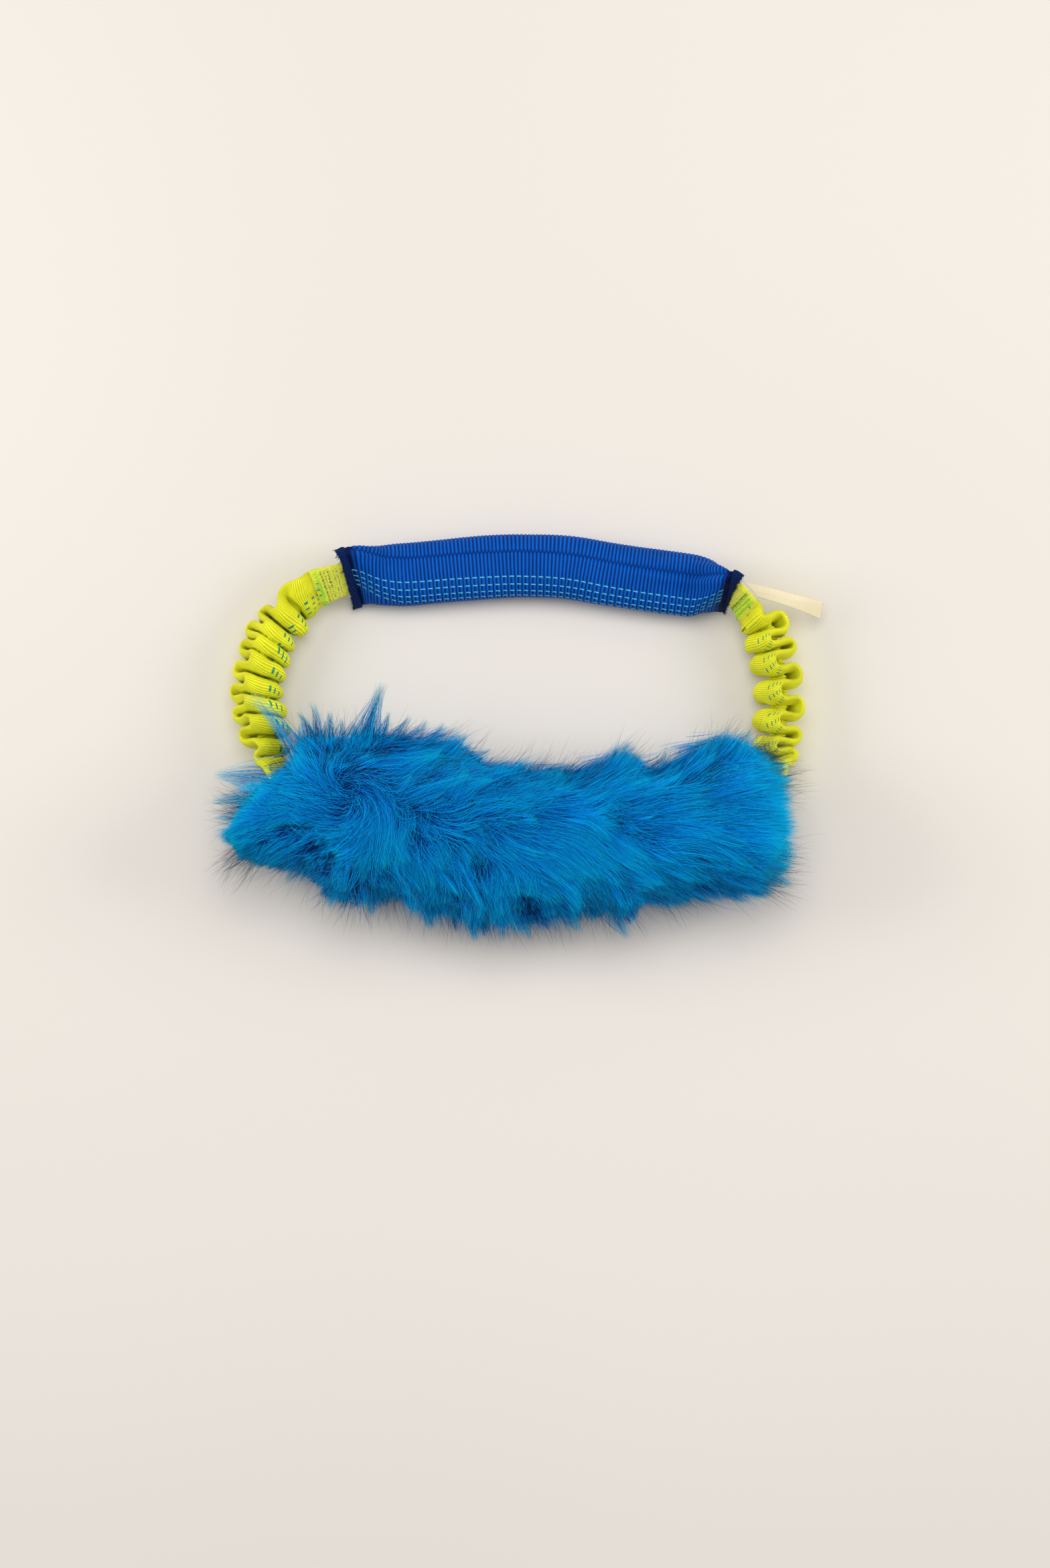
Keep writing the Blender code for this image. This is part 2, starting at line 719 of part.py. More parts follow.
def fur_channel(layout):
    """What the pile leaves free: the backing tube, and a parting for each leg."""
    outer, inner = [], []
    for n in range(PART_STATIONS):
        share = 1 - n / PART_STATIONS
        section = parting_section(share)
        before = layout.right_hinge - FUR_PART_LENGTH * share
        after = layout.left_hinge + FUR_PART_LENGTH * share
        outer.append(layout.frame(before).ring(section))
        inner.append(layout.frame(after).ring(section))
    middle = []
    for low, high, hands in (
        (layout.right_hinge, layout.bite_right, outer),
        (layout.bite_left, layout.left_hinge, middle),
    ):
        steps = spread(low, high, PART_STATIONS)
        steps = steps[:-1] if hands is outer else steps[1:]
        hands.extend(layout.frame(p).ring(parting_section(0.0)) for p in steps)
    return loft("fur_channel", outer + bite_rings(layout, -GAP) + middle + inner[::-1])


def label_root(layout):
    """The line on the outer face of the right tack that the label's end is sewn along."""
    root = []
    swell = tack_swell(LABEL_END / RIGHT_TACK_LENGTH)
    off = mixed(TACK_THICK, LEG_END_THICK, swell) / 2 + GAP + LABEL_THICK / 2
    for place in spread(LABEL_START, LABEL_END, LABEL_COLUMNS):
        frame = layout.frame(layout.handle_end + place)
        root.append(frame.middle + frame.wide * LABEL_UP - frame.face * off)
    return root


def make_label(root):
    """A ribbon cut slanting along its sewn line, which bows down towards its free end."""
    run = Vector((math.cos(LABEL_TURN), math.sin(LABEL_TURN), 0))
    across = UP.cross(run) * LABEL_WIDTH
    tip = (root[0] + root[-1]) / 2 + run * LABEL_REACH
    bm = bmesh.new()
    rows = []
    for share in spread(0.0, 1.0, LABEL_ROWS):
        row = []
        for n, start in enumerate(root):
            end = tip + across * mixed(0.5, -0.5, n / (len(root) - 1))
            place = start.lerp(end, share)
            place.z = start.z - LABEL_DROP * share**2
            row.append(bm.verts.new(place))
        rows.append(row)
    for here, after in zip(rows, rows[1:]):
        for n in range(len(root) - 1):
            bm.faces.new((here[n], here[n + 1], after[n + 1], after[n]))
    mesh = bpy.data.meshes.new("label_tab")
    bm.to_mesh(mesh)
    bm.free()
    made = bpy.data.objects.new("label_tab", mesh)
    thicken(made, LABEL_THICK, 0)
    return made


def straps_and_core(layout, keep):
    """The handle's and the bite's load straps, each inside its padding roll."""
    handle = [layout.handle_start + place for place in handle_places(layout)]
    bite = bite_places(layout)
    bite = [bite[0] + GAP / 2] + bite[1:-1] + [bite[-1] - GAP / 2]
    for name, core, make, places in (
        ("handle_strap", "handle_core", make_handle_core, handle),
        ("bite_strap", "bite_core", make_bite_core, bite),
    ):
        keep[name] = make_band(name, layout, places, STRAP_WIDTH / 2, STRAP_THICK / 2)
        size = (STRAP_WIDTH / 2 + GAP, STRAP_THICK / 2 + GAP)
        channel = make_band(core + "_channel", layout, places, *size)
        keep["cutters"].append(channel)
        keep[core] = make(layout, channel)


def leg_pieces(layout, keep, hand, ends, tack_length, lips, table, handle_at_start):
    """One elastic leg: both its flat sewn ends, its gathered webbing and its shock cord."""
    half = GAP / 2
    from_handle, hinge, bite = ends
    way = 1 if handle_at_start else -1
    sewn = from_handle + way * tack_length
    upper = sorted((from_handle + way * GAP, sewn - way * half))
    gathered = sorted((sewn + way * half, hinge - way * half))
    lower = sorted((hinge + way * half, bite - way * half))
    name = f"{hand}_upper_tack"
    keep[name] = make_tack(name, layout, *upper, handle_at_start)
    name = f"{hand}_lower_tack"
    keep[name] = make_tack(name, layout, *lower, not handle_at_start)
    radius = CORD_DIAMETER / 2
    corded = spread(gathered[0] + GAP, gathered[1] - GAP, CORD_STATIONS)
    longer = [gathered[0] - CUT_OVERRUN] + corded + [gathered[1] + CUT_OVERRUN]
    bore = make_rod(f"{hand}_bore", layout, longer, radius + GAP)
    keep["cutters"].append(bore)
    name = f"{hand}_bungee_sleeve"
    keep[name] = make_leg_sleeve(name, layout, *gathered, handle_at_start, lips, table, bore)
    name = f"{hand}_cord_cover"
    keep[name] = make_rod(name, layout, corded, radius, capped=False)
    thicken(keep[name], CORD_COVER_WALL, -1)
    name = f"{hand}_cord_core"
    keep[name] = make_rod(name, layout, corded, radius - CORD_COVER_WALL - GAP)


def make_pieces(layout):
    keep = {"cutters": []}
    straps_and_core(layout, keep)
    keep["handle_sleeve"] = make_handle_sleeve(layout)
    start, end = layout.handle_start, layout.handle_end
    keep["left_hem"] = make_hem("left_hem", layout, start, start + HEM_LENGTH, LEFT_END_TILT)
    keep["right_hem"] = make_hem("right_hem", layout, end, end - HEM_LENGTH, RIGHT_END_TILT)
    left = (layout.loop_end, layout.left_hinge, layout.bite_left)
    right = (layout.handle_end, layout.right_hinge, layout.bite_right)
    leg_pieces(layout, keep, "left", left, LEFT_TACK_LENGTH, LEFT_LIPS, LEFT_LIP_SHARES, False)
    leg_pieces(layout, keep, "right", right, RIGHT_TACK_LENGTH, RIGHT_LIPS, RIGHT_LIP_SHARES, True)
    keep["fur_backing"] = make_fur_backing(layout)
    channel = fur_channel(layout)
    keep["cutters"].append(channel)
    keep["fur_pile"] = make_fur_pile(layout, channel)
    return keep


def shade_round(made):
    made.data.shade_smooth()
    made.data.set_sharp_from_angle(angle=ROUND_ANGLE)


def new_pivot(name, place, group, parent=None):
    """An empty on a joint's axis, which carries what moves there."""
    pivot = bpy.data.objects.new(name, None)
    pivot.empty_display_size = HEM_LENGTH
    group.objects.link(pivot)
    pivot.parent = parent
    pivot.location = place - (parent.matrix_world.translation if parent else Vector())
    bpy.context.view_layer.update()
    return pivot


def settle_on(made, pivot, group, finish):
    """Hangs a piece on its pivot, with its origin there and its shape where it is."""
    place = pivot.matrix_world.translation
    made.data.transform(made.matrix_world.Translation(-place))
    made.parent = pivot
    made.data.materials.append(finish)
    shade_round(made)
    group.objects.link(made)


def finishes():
    return {name: new_material(name, *look) for name, look in LOOKS.items()}


PIECES = {
    "bite": {
        "fur_pile": "fur", "fur_backing": "knit_backing", "bite_core": "foam",
        "bite_strap": "lime_webbing", "left_lower_tack": "stitched_lime",
        "right_lower_tack": "stitched_lime",
    },
    "legs": {
        "left_bungee_sleeve": "lime_webbing", "right_bungee_sleeve": "lime_webbing",
        "left_cord_cover": "cord_cover", "right_cord_cover": "cord_cover",
        "left_cord_core": "rubber_strands", "right_cord_core": "rubber_strands",
    },
    "handle": {
        "handle_sleeve": "blue_webbing", "handle_core": "foam", "handle_strap": "lime_webbing",
        "left_hem": "navy_hem", "right_hem": "navy_hem", "left_upper_tack": "stitched_lime",
        "right_upper_tack": "stitched_lime",
    },
}


def main():
    clear_scene()
    group, cutters = new_collection("bungee_tug_toy"), new_collection("cutters")
    layout, looks = Layout(), finishes()
    pieces = make_pieces(layout)
    sewn = label_root(layout)
    label, root = make_label(sewn), (sewn[0] + sewn[-1]) / 2
    base = new_pivot("bite_base", Vector(), group)
    swing = new_pivot("leg_swing_axis", layout.hinge, group, base)
    pull = new_pivot("handle_pull", layout.hinge, group, swing)
    flop = new_pivot("label_fold_axis", root, group, pull)
    for pivot, body in ((base, "bite"), (swing, "legs"), (pull, "handle")):
        for name, finish in PIECES[body].items():
            settle_on(pieces[name], pivot, group, looks[finish])
    settle_on(label, flop, group, looks["satin_ribbon"])
    for cutter in pieces["cutters"]:
        cutters.objects.link(cutter)
        cutter.hide_render = True
        cutter.display_type = "WIRE"


main()
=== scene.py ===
"""Looks of the bungee tug toy: ribbed webbing, gathered legs, stitching, label ribbon and fur.

Every piece follows the same ring route as the solids. Lengths are in metres unless a name says otherwise, and
distances along the ring run clockwise, seen from above, from the left end of the handle.
"""
import math

import bpy
import numpy as np
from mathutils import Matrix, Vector, noise
from mathutils.bvhtree import BVHTree


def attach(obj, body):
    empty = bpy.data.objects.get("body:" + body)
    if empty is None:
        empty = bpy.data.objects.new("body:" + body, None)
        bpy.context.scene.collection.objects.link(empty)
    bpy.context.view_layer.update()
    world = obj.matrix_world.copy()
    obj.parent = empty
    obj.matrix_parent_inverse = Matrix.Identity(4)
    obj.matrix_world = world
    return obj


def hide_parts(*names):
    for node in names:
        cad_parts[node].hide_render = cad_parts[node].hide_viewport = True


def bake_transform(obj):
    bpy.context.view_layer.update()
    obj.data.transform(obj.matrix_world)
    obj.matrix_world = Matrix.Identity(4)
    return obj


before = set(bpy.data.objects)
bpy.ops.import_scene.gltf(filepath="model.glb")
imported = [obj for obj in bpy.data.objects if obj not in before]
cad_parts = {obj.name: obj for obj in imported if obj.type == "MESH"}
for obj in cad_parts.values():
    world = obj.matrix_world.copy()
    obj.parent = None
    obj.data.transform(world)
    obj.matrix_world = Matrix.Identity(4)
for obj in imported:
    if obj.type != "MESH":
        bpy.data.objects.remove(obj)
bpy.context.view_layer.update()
RANDOM = np.random.default_rng(7)
UP = np.array((0.0, 0.0, 1.0))

RING_LENGTH = 0.83813
# The ring's route at even spacing, written in millimetres
RING = np.array([
    (-109.9, 92.1, 21.6), (-102.8, 94.1, 20.5), (-95.9, 94.7, 17.8), (-88.9, 94.9, 15.1),
    (-81.7, 95.5, 13.3), (-74.3, 96.0, 11.9), (-66.9, 96.6, 11.2), (-59.5, 97.3, 11.1),
    (-52.0, 98.0, 11.4), (-44.6, 98.7, 11.7), (-37.1, 99.3, 11.9), (-29.6, 99.9, 11.9),
    (-22.2, 100.4, 11.9), (-14.7, 100.9, 11.9), (-7.2, 101.2, 11.9), (0.2, 101.2, 11.9),
    (7.7, 101.1, 11.9), (15.2, 100.8, 11.9), (22.7, 100.2, 11.9), (30.1, 99.2, 11.9),
    (37.4, 97.9, 11.9), (44.8, 96.5, 11.9), (52.2, 95.3, 11.9), (59.6, 94.2, 11.9),
    (67.0, 93.1, 11.9), (74.4, 92.1, 11.9), (81.8, 91.1, 11.9), (89.2, 90.2, 11.9),
    (96.6, 89.1, 12.2), (103.2, 87.8, 15.3), (108.8, 86.2, 20.0), (114.8, 84.6, 24.1),
    (121.8, 82.7, 25.9), (126.8, 77.5, 24.5), (131.2, 72.2, 21.7), (136.6, 67.8, 19.1),
    (141.0, 62.2, 16.9), (143.4, 55.3, 15.4), (145.3, 48.1, 14.6), (147.0, 40.9, 14.6),
    (148.3, 33.5, 14.7), (149.2, 26.1, 14.6), (149.5, 18.6, 14.7), (149.0, 11.1, 15.0),
    (148.4, 3.7, 15.6), (147.6, -3.6, 16.9), (147.3, -10.9, 18.6), (148.1, -18.1, 20.5),
    (147.3, -25.2, 22.8), (145.0, -31.7, 25.5), (141.5, -37.7, 28.2), (137.1, -43.2, 30.8),
    (131.8, -48.1, 32.8), (125.4, -51.7, 33.8), (118.2, -53.7, 34.0), (110.8, -54.8, 33.8),
    (103.4, -55.6, 33.4), (95.9, -56.5, 33.1), (88.6, -58.0, 33.0), (81.3, -59.7, 33.0),
    (74.0, -61.4, 33.0), (66.7, -63.0, 33.0), (59.4, -64.6, 33.0), (52.0, -65.9, 33.0),
    (44.6, -67.0, 33.0), (37.2, -67.8, 33.0), (29.7, -68.4, 33.0), (22.3, -68.9, 33.0),
    (14.8, -69.1, 33.0), (7.3, -69.1, 33.0), (-0.2, -69.0, 33.0), (-7.6, -68.6, 33.0),
    (-15.1, -68.1, 33.0), (-22.5, -67.2, 33.0), (-30.0, -66.3, 33.0), (-37.4, -65.2, 33.0),
    (-44.8, -64.0, 33.0), (-52.1, -62.8, 33.0), (-59.5, -61.6, 33.0), (-66.9, -60.3, 33.0),
    (-74.3, -58.9, 33.0), (-81.6, -57.5, 33.0), (-88.9, -55.9, 33.0), (-96.2, -54.3, 33.0),
    (-103.5, -52.6, 33.1), (-110.9, -51.3, 33.6), (-118.2, -50.1, 34.2), (-125.6, -48.7, 34.8),
    (-132.7, -46.7, 34.9), (-139.4, -43.5, 34.2), (-144.6, -38.6, 31.9), (-147.9, -33.0, 28.3),
    (-150.3, -27.0, 24.5), (-152.6, -20.6, 21.3), (-155.0, -13.8, 19.5), (-157.1, -6.7, 18.2),
    (-159.1, 0.3, 16.9), (-161.0, 7.5, 15.7), (-162.9, 14.7, 14.8), (-164.2, 22.0, 14.1),
    (-163.6, 29.4, 14.1), (-162.3, 36.8, 14.2), (-160.4, 44.0, 14.2), (-158.2, 51.2, 14.1),
    (-155.6, 58.2, 14.1), (-151.3, 64.3, 14.3), (-146.3, 69.9, 14.6), (-141.9, 75.9, 15.7),
    (-137.2, 81.4, 17.1), (-131.0, 85.3, 18.9), (-124.2, 87.9, 20.5), (-117.1, 90.2, 21.4),
]) / 1000

# Distances along the ring where one stretch hands over to the next; the gathered ones run from handle to bite
HANDLE_END = 0.23869
RIGHT_GATHER = (0.25569, 0.35339)
BITE_RIGHT = 0.39012
BITE_LEFT = 0.67057
LEFT_GATHER = (0.81813, 0.69699)
# How far the webbing's width is turned up from level, in degrees
TILTS = np.array([
    (0.0, 50), (0.01133, 50), (0.034, 33), (0.068, 8), (0.18469, 8), (0.21169, 33), (0.22969, 66),
    (0.23869, 66), (0.26163, 60), (0.33045, 60), (0.39012, 90), (0.67057, 90), (0.72522, 35),
    (0.8099, 35), (0.83813, 50),
])

HANDLE_ROUND = 0.100
LEFT_END_WIDE, RIGHT_END_WIDE = 0.0466, 0.0440
HANDLE_END_THICK = 0.0058
HANDLE_WIDE, HANDLE_TALL = 0.038, 0.025
HEM_LENGTH = 0.0042
LEFT_FLARE, RIGHT_FLARE = 0.034, 0.027
LEFT_END_TILT, RIGHT_END_TILT = math.radians(50), math.radians(66)
RIB_PITCH, RIB_HEIGHT = 0.00225, 0.00062
TRACER_ROWS = (0.0155, 0.0203, 0.0246, 0.0285)
TRACER_HALF = 0.00036
# The legs' webbing: flat width, the tube's way round, and its sections where it is sewn flat and where it gathers
STRAP_WIDTH, STRAP_ROUND = 0.025, 0.054
TACK_THICK = 0.0034
LEG_WIDTH, LEG_END_THICK = 0.0265, 0.0094
LOBE_REACH, LOBE_THICK = 0.0128, 0.0030
# How much folded webbing each leg's lower piece takes, and which shares of a leg its cord lies between
LOWER_PIECE, CORD_ENDS = 0.045, (0.004, 0.996)
SEWN_GAP = 0.00015


def unit(v):
    return v / np.maximum(np.linalg.norm(v, axis=-1, keepdims=True), 1e-12)


def smooth(share):
    share = np.clip(share, 0.0, 1.0)
    return share * share * (3 - 2 * share)


def bell(value, middle, width):
    return np.exp(-(((value - middle) / width) ** 2))


def turns(columns):
    """Angles evenly round, the first at 0."""
    return 2 * np.pi * np.arange(columns) / columns


def ring_point(d):
    """A smooth curve through the route's points, at distances along it."""
    count = len(RING)
    k = (np.asarray(d, dtype=float) / RING_LENGTH * count) % count
    i = np.floor(k).astype(int)
    t = (k - i)[..., None]
    a, b, c, e = (RING[(i + s) % count] for s in (-1, 0, 1, 2))
    return 0.5 * (2 * b + (c - a) * t + (2 * a - 5 * b + 4 * c - e) * t**2 + (3 * b - a - 3 * c + e) * t**3)


def ring_frame(d, tilt=None):
    """The ring's middle, and its directions along, across its width and square to its face."""
    d = np.asarray(d, dtype=float)
    along = ring_point(d + 0.0005) - ring_point(d - 0.0005)
    along[..., 2] = 0
    along = unit(along)
    if tilt is None:
        tilt = np.radians(np.interp(d % RING_LENGTH, TILTS[:, 0], TILTS[:, 1]))
    tilt = np.asarray(tilt, dtype=float)[..., None]
    out = np.stack([-along[..., 1], along[..., 0], np.zeros_like(along[..., 0])], axis=-1)
    wide = out * np.cos(tilt) + UP * np.sin(tilt)
    face = UP * np.cos(tilt) - out * np.sin(tilt)
    return ring_point(d), along, wide, face


def lifted(points, least):
    """Keeps points at least this high over the table."""
    points[..., 2] = np.maximum(points[..., 2], least)
    return points


def noise_at(points, scale, seed=0.0):
    """Smooth noise from minus 1 to 1 at points, whose size is about the given length."""
    flat = points.reshape(-1, 3) / scale + seed
    return np.array([noise.noise(p) for p in flat]).reshape(points.shape[:-1])


# ---------------------------------------------------------------- materials


def srgb(r, g, b):
    part = np.array((r, g, b)) / 255
    linear = np.where(part <= 0.04045, part / 12.92, ((part + 0.055) / 1.055) ** 2.4)
    return (*linear.tolist(), 1.0)


class Look:
    """One material and short calls that add nodes to it."""

    def __init__(self, name, roughness=0.6, **fixed):
        self.material = bpy.data.materials.new(name)
        self.material.use_nodes = True
        self.tree = self.material.node_tree
        self.shader = self.tree.nodes["Principled BSDF"]
        self.shader.inputs["Roughness"].default_value = roughness
        for key, value in fixed.items():
            self.shader.inputs[key.replace("_", " ")].default_value = value

    def add(self, kind, inputs=(), out=0, **settings):
        node = self.tree.nodes.new(kind)
        for key, value in settings.items():
            setattr(node, key, value)
        for key, value in dict(inputs).items():
            self.put(node.inputs[key], value)
        return node.outputs[out]

    def put(self, socket, value):
        if isinstance(value, bpy.types.NodeSocket):
            self.tree.links.new(value, socket)
        else:
            socket.default_value = value

    def math(self, operation, a, b=0.0, c=0.0):
        return self.add("ShaderNodeMath", {0: a, 1: b, 2: c}, operation=operation)

    def scaled(self, value, by, plus=None):
        """A value times another, and plus a third if there is one."""
        return self.math("MULTIPLY", value, by) if plus is None else self.math("MULTIPLY_ADD", value, by, plus)

    def mix(self, share, a, b, blend="MIX"):
        return self.add("ShaderNodeMix", {0: share, 6: a, 7: b}, out=2, data_type="RGBA", blend_type=blend)

    def ramp(self, value, *stops):
        node = self.tree.nodes.new("ShaderNodeValToRGB")
        self.put(node.inputs[0], value)
        marks = node.color_ramp.elements
        while len(marks) < len(stops):
            marks.new(0.5)
        for mark, (place, colour) in zip(marks, stops):
            mark.position = place
            mark.color = srgb(*colour)
        return node.outputs[0]

    def flat(self):
        """The two coordinates of the piece's own map, in millimetres on woven pieces."""
        found = self.add("ShaderNodeTexCoord", out=2)
        node = self.tree.nodes.new("ShaderNodeSeparateXYZ")
        self.put(node.inputs[0], found)
        return node.outputs[0], node.outputs[1]

    def speckle(self, scale, detail=3.0, rough=0.6):
        where = self.add("ShaderNodeMapping", {0: self.add("ShaderNodeTexCoord", out=3)})
        return self.add("ShaderNodeTexNoise", {
            "Vector": where, "Scale": scale, "Detail": detail, "Roughness": rough})

    def ridge(self, value, pitch, shift=0.0):
        """Rounded ridges from 0 to 1, one for each pitch."""
        turned = self.scaled(value, math.pi / pitch, shift)
        return self.math("ABSOLUTE", self.math("SINE", turned))

    def colour(self, value, level=None):
        """Gives the piece its colour, times a level that is the same for red, green and blue."""
        if level is not None:
            grey = self.add("ShaderNodeCombineColor", {0: level, 1: level, 2: level})
            value = self.mix(1.0, value, grey, "MULTIPLY")
        self.put(self.shader.inputs["Base Color"], value)

    def bump(self, height, depth):
        made = self.add("ShaderNodeBump", {"Height": height, "Distance": depth, "Strength": 1.0})
        self.put(self.shader.inputs["Normal"], made)


def handle_shade(look, along, across, shade):
    """The handle's weave seen over its broad ribs, with painted highlights on the rib crests, painted shade in their
    valleys, and painted shade in the folds at both edges and towards both ends.
    """
    fold, whole = HANDLE_ROUND * 500, HANDLE_ROUND * 1000
    lower = look.scaled(look.math("LESS_THAN", across, fold), math.pi / 2)
    rib = look.ridge(along, RIB_PITCH * 1000, lower)
    # Painted highlight on each rib's crest and painted shade in the valleys between ribs.
    crest = look.math("POWER", rib, 6.0)
    shade = look.scaled(look.math("POWER", rib, 0.6), 0.42, look.scaled(shade, 0.45))
    shade = look.scaled(crest, 0.28, look.math("SUBTRACT", shade, 0.12))
    # Painted shade in the grooves along both fold lines.
    edge = look.math("ABSOLUTE", look.math("SUBTRACT", across, fold))
    edge = look.math("MINIMUM", edge, look.math("SUBTRACT", whole, across))
    groove_shade = look.math("MINIMUM", look.math("DIVIDE", look.math("MINIMUM", edge, across), 1.4), 1.0)
    shade = look.scaled(shade, look.scaled(groove_shade, 0.4, 0.6))
    # Painted shade towards both ends, where the webbing narrows into the hems.
    end = look.math("MINIMUM", along, look.math("SUBTRACT", HANDLE_END * 1000, along))
    end = look.scaled(look.speckle(300.0), 2.0, look.math("SUBTRACT", end, 5.5))
    end = look.math("MINIMUM", look.math("MAXIMUM", look.math("DIVIDE", end, 4.5), 0.12), 1.0)
    return look.scaled(shade, end)


def woven(name, colours, rib, yarn, depth, roughness, gloss, yarn_share=0.4, handle=False, crease_shaded=False):
    """Webbing: ribs across it of a pitch in millimetres, crossed by yarns."""
    look = Look(name, roughness, Specular_IOR_Level=gloss)
    along, across = look.flat()
    wander = look.scaled(look.speckle(420.0), 0.5)
    ribs = look.ridge(along, rib, wander)
    yarns = look.ridge(across, yarn, look.scaled(look.math("FLOOR", look.math("DIVIDE", along, rib)), 1.57))
    height = look.scaled(yarns, yarn_share, look.scaled(ribs, 1.2 - yarn_share))
    # The colour follows the weave's height: painted shade in the valleys and painted light on the tops of ribs and
    # yarns, over a random speckled tone.
    shade = look.scaled(look.speckle(1400.0), 0.35, look.scaled(height, 0.6))
    if handle:
        shade = handle_shade(look, along, across, shade)
    tone = look.ramp(shade, *zip((0.12, 0.5, 0.92), colours))
    # Painted shade in the creases of the gathers: where the point attribute is low, the tone is multiplied towards dark
    # olive.
    if crease_shaded:
        unshaded_share = look.add("ShaderNodeAttribute", out=2, attribute_name="unshaded_share")
        tone = look.mix(unshaded_share, look.mix(1.0, tone, srgb(150, 158, 60), "MULTIPLY"), tone)
    look.colour(tone, look.scaled(look.speckle(60.0), 0.5, 0.75))
    look.bump(height, depth)
    return look.material


def thread(name, *colours):
    look = Look(name, 0.45)
    fuzz = look.speckle(2600.0, 2.0)
    look.colour(look.ramp(fuzz, *zip((0.25, 0.75), colours)))
    look.bump(fuzz, 0.0001)
    return look.material


def fuzzy(name, colours, scale=900.0, roughness=0.85, depth=0.0003, **fixed):
    look = Look(name, roughness, **fixed)
    fine = look.speckle(scale, 6.0, rough=0.7)
    look.colour(look.ramp(fine, *zip((0.28, 0.52, 0.78), colours)))
    look.bump(fine, depth)
    return look.material


def furry(name, *stops, dark=0.74, roughness=0.55, gloss=0.1):
    """Fibres: the first coordinate of their map runs from root to tip, the second picks the fibre."""
    look = Look(name, roughness, Specular_IOR_Level=gloss)
    along, which = look.flat()
    look.colour(look.ramp(along, *stops), look.scaled(which, 1.28 - dark, dark))
    return look.material


def make_looks():
    looks = {
        "blue": woven("blue_webbing_weave", ((0, 20, 76), (0, 68, 160), (0, 110, 222)), 0.42, 0.62, 0.00010, 0.6, 0.08,
                      handle=True),
        "lime": woven("lime_webbing_weave", ((150, 152, 0), (228, 232, 6), (250, 250, 92)), 0.8, 0.42, 0.00022, 0.5,
                      0.2, 0.25),
        "gathers": woven("gathered_webbing_weave", ((150, 152, 0), (238, 240, 0), (255, 254, 76)), 0.8, 0.42, 0.00024,
                         0.5, 0.1, 0.25, crease_shaded=True),
        "tack": woven("stitched_webbing_weave", ((194, 202, 4), (244, 250, 30), (255, 255, 110)), 0.8, 0.6, 0.0003,
                      0.6, 0.2),
        # The hem band's dark navy is partly its dense navy stitching and partly painted shade on the webbing's
        # turned-out end.
        "navy": fuzzy("navy_hem_stitching_and_shade", ((2, 8, 28), (0, 30, 84), (0, 66, 150)), 1100.0, 0.8, 0.0005,
                      Specular_IOR_Level=0.15),
        "navy_dark": fuzzy("navy_hem_fray", ((8, 12, 28), (14, 24, 58), (60, 66, 84)), 1500.0),
        "neon": thread("neon_thread", (140, 228, 0), (190, 255, 40)),
        "beige": thread("beige_thread", (232, 238, 46), (254, 254, 116)),
        "olive": thread("olive_thread", (88, 92, 20), (128, 130, 40)),
        "teal": thread("teal_tracer", (10, 128, 92), (26, 168, 124)),
        "ladder": thread("ladder_tracer", (0, 74, 160), (0, 104, 196)),
        "cyan": thread("cyan_tracer", (40, 178, 208), (96, 220, 235)),
        # The fur's roots are dark partly as the hair's own colour and partly as painted shade deep in the pile; the
        # cyan tips are painted light shining through the thin hair.
        "fur": furry("fur_fibre", (0.0, (0, 52, 124)), (0.2, (0, 102, 188)), (0.5, (0, 138, 224)),
                     (0.8, (0, 164, 232)), (1.0, (0, 196, 222)), dark=0.76, roughness=0.6, gloss=0.04),
        "wisp": furry("guard_hair", (0.0, (0, 84, 150)), (0.45, (40, 84, 118)), (1.0, (64, 70, 88))),
        # The under fur's dark blue is partly the darker roots' own colour and partly painted shade deep in the pile.
        "under": fuzzy("under_fur", ((0, 24, 72), (0, 44, 106), (0, 72, 146)), Specular_IOR_Level=0.05),
        "foam": fuzzy("padding_foam", ((200, 200, 192), (222, 222, 214), (238, 238, 232)), 1800.0),
        "knit": fuzzy("knit_backing_cloth", ((0, 60, 120), (4, 84, 150), (20, 110, 180)), 2200.0),
        "braid": fuzzy("braided_cover", ((190, 190, 182), (214, 214, 206), (236, 236, 230)), 2600.0),
        "rubber": fuzzy("rubber_strand", ((178, 148, 104), (200, 170, 126), (216, 190, 148)), 1300.0, 0.6),
    }
    ribbon = Look("satin_ribbon_cloth", 0.42, Sheen_Weight=0.2, Subsurface_Weight=0.25, Subsurface_Scale=0.004,
                  Subsurface_Radius=(1.0, 0.9, 0.7))
    lines = ribbon.ridge(ribbon.flat()[1], 0.35)
    lines = ribbon.scaled(lines, 0.5, ribbon.scaled(ribbon.speckle(900.0), 0.6))
    ribbon.colour(ribbon.ramp(lines, (0.2, (228, 208, 158)), (0.6, (244, 228, 184)), (0.95, (250, 238, 204))))
    ribbon.bump(lines, 0.00005)
    looks["ribbon"] = ribbon.material
    return looks


# ---------------------------------------------------------------- mesh building


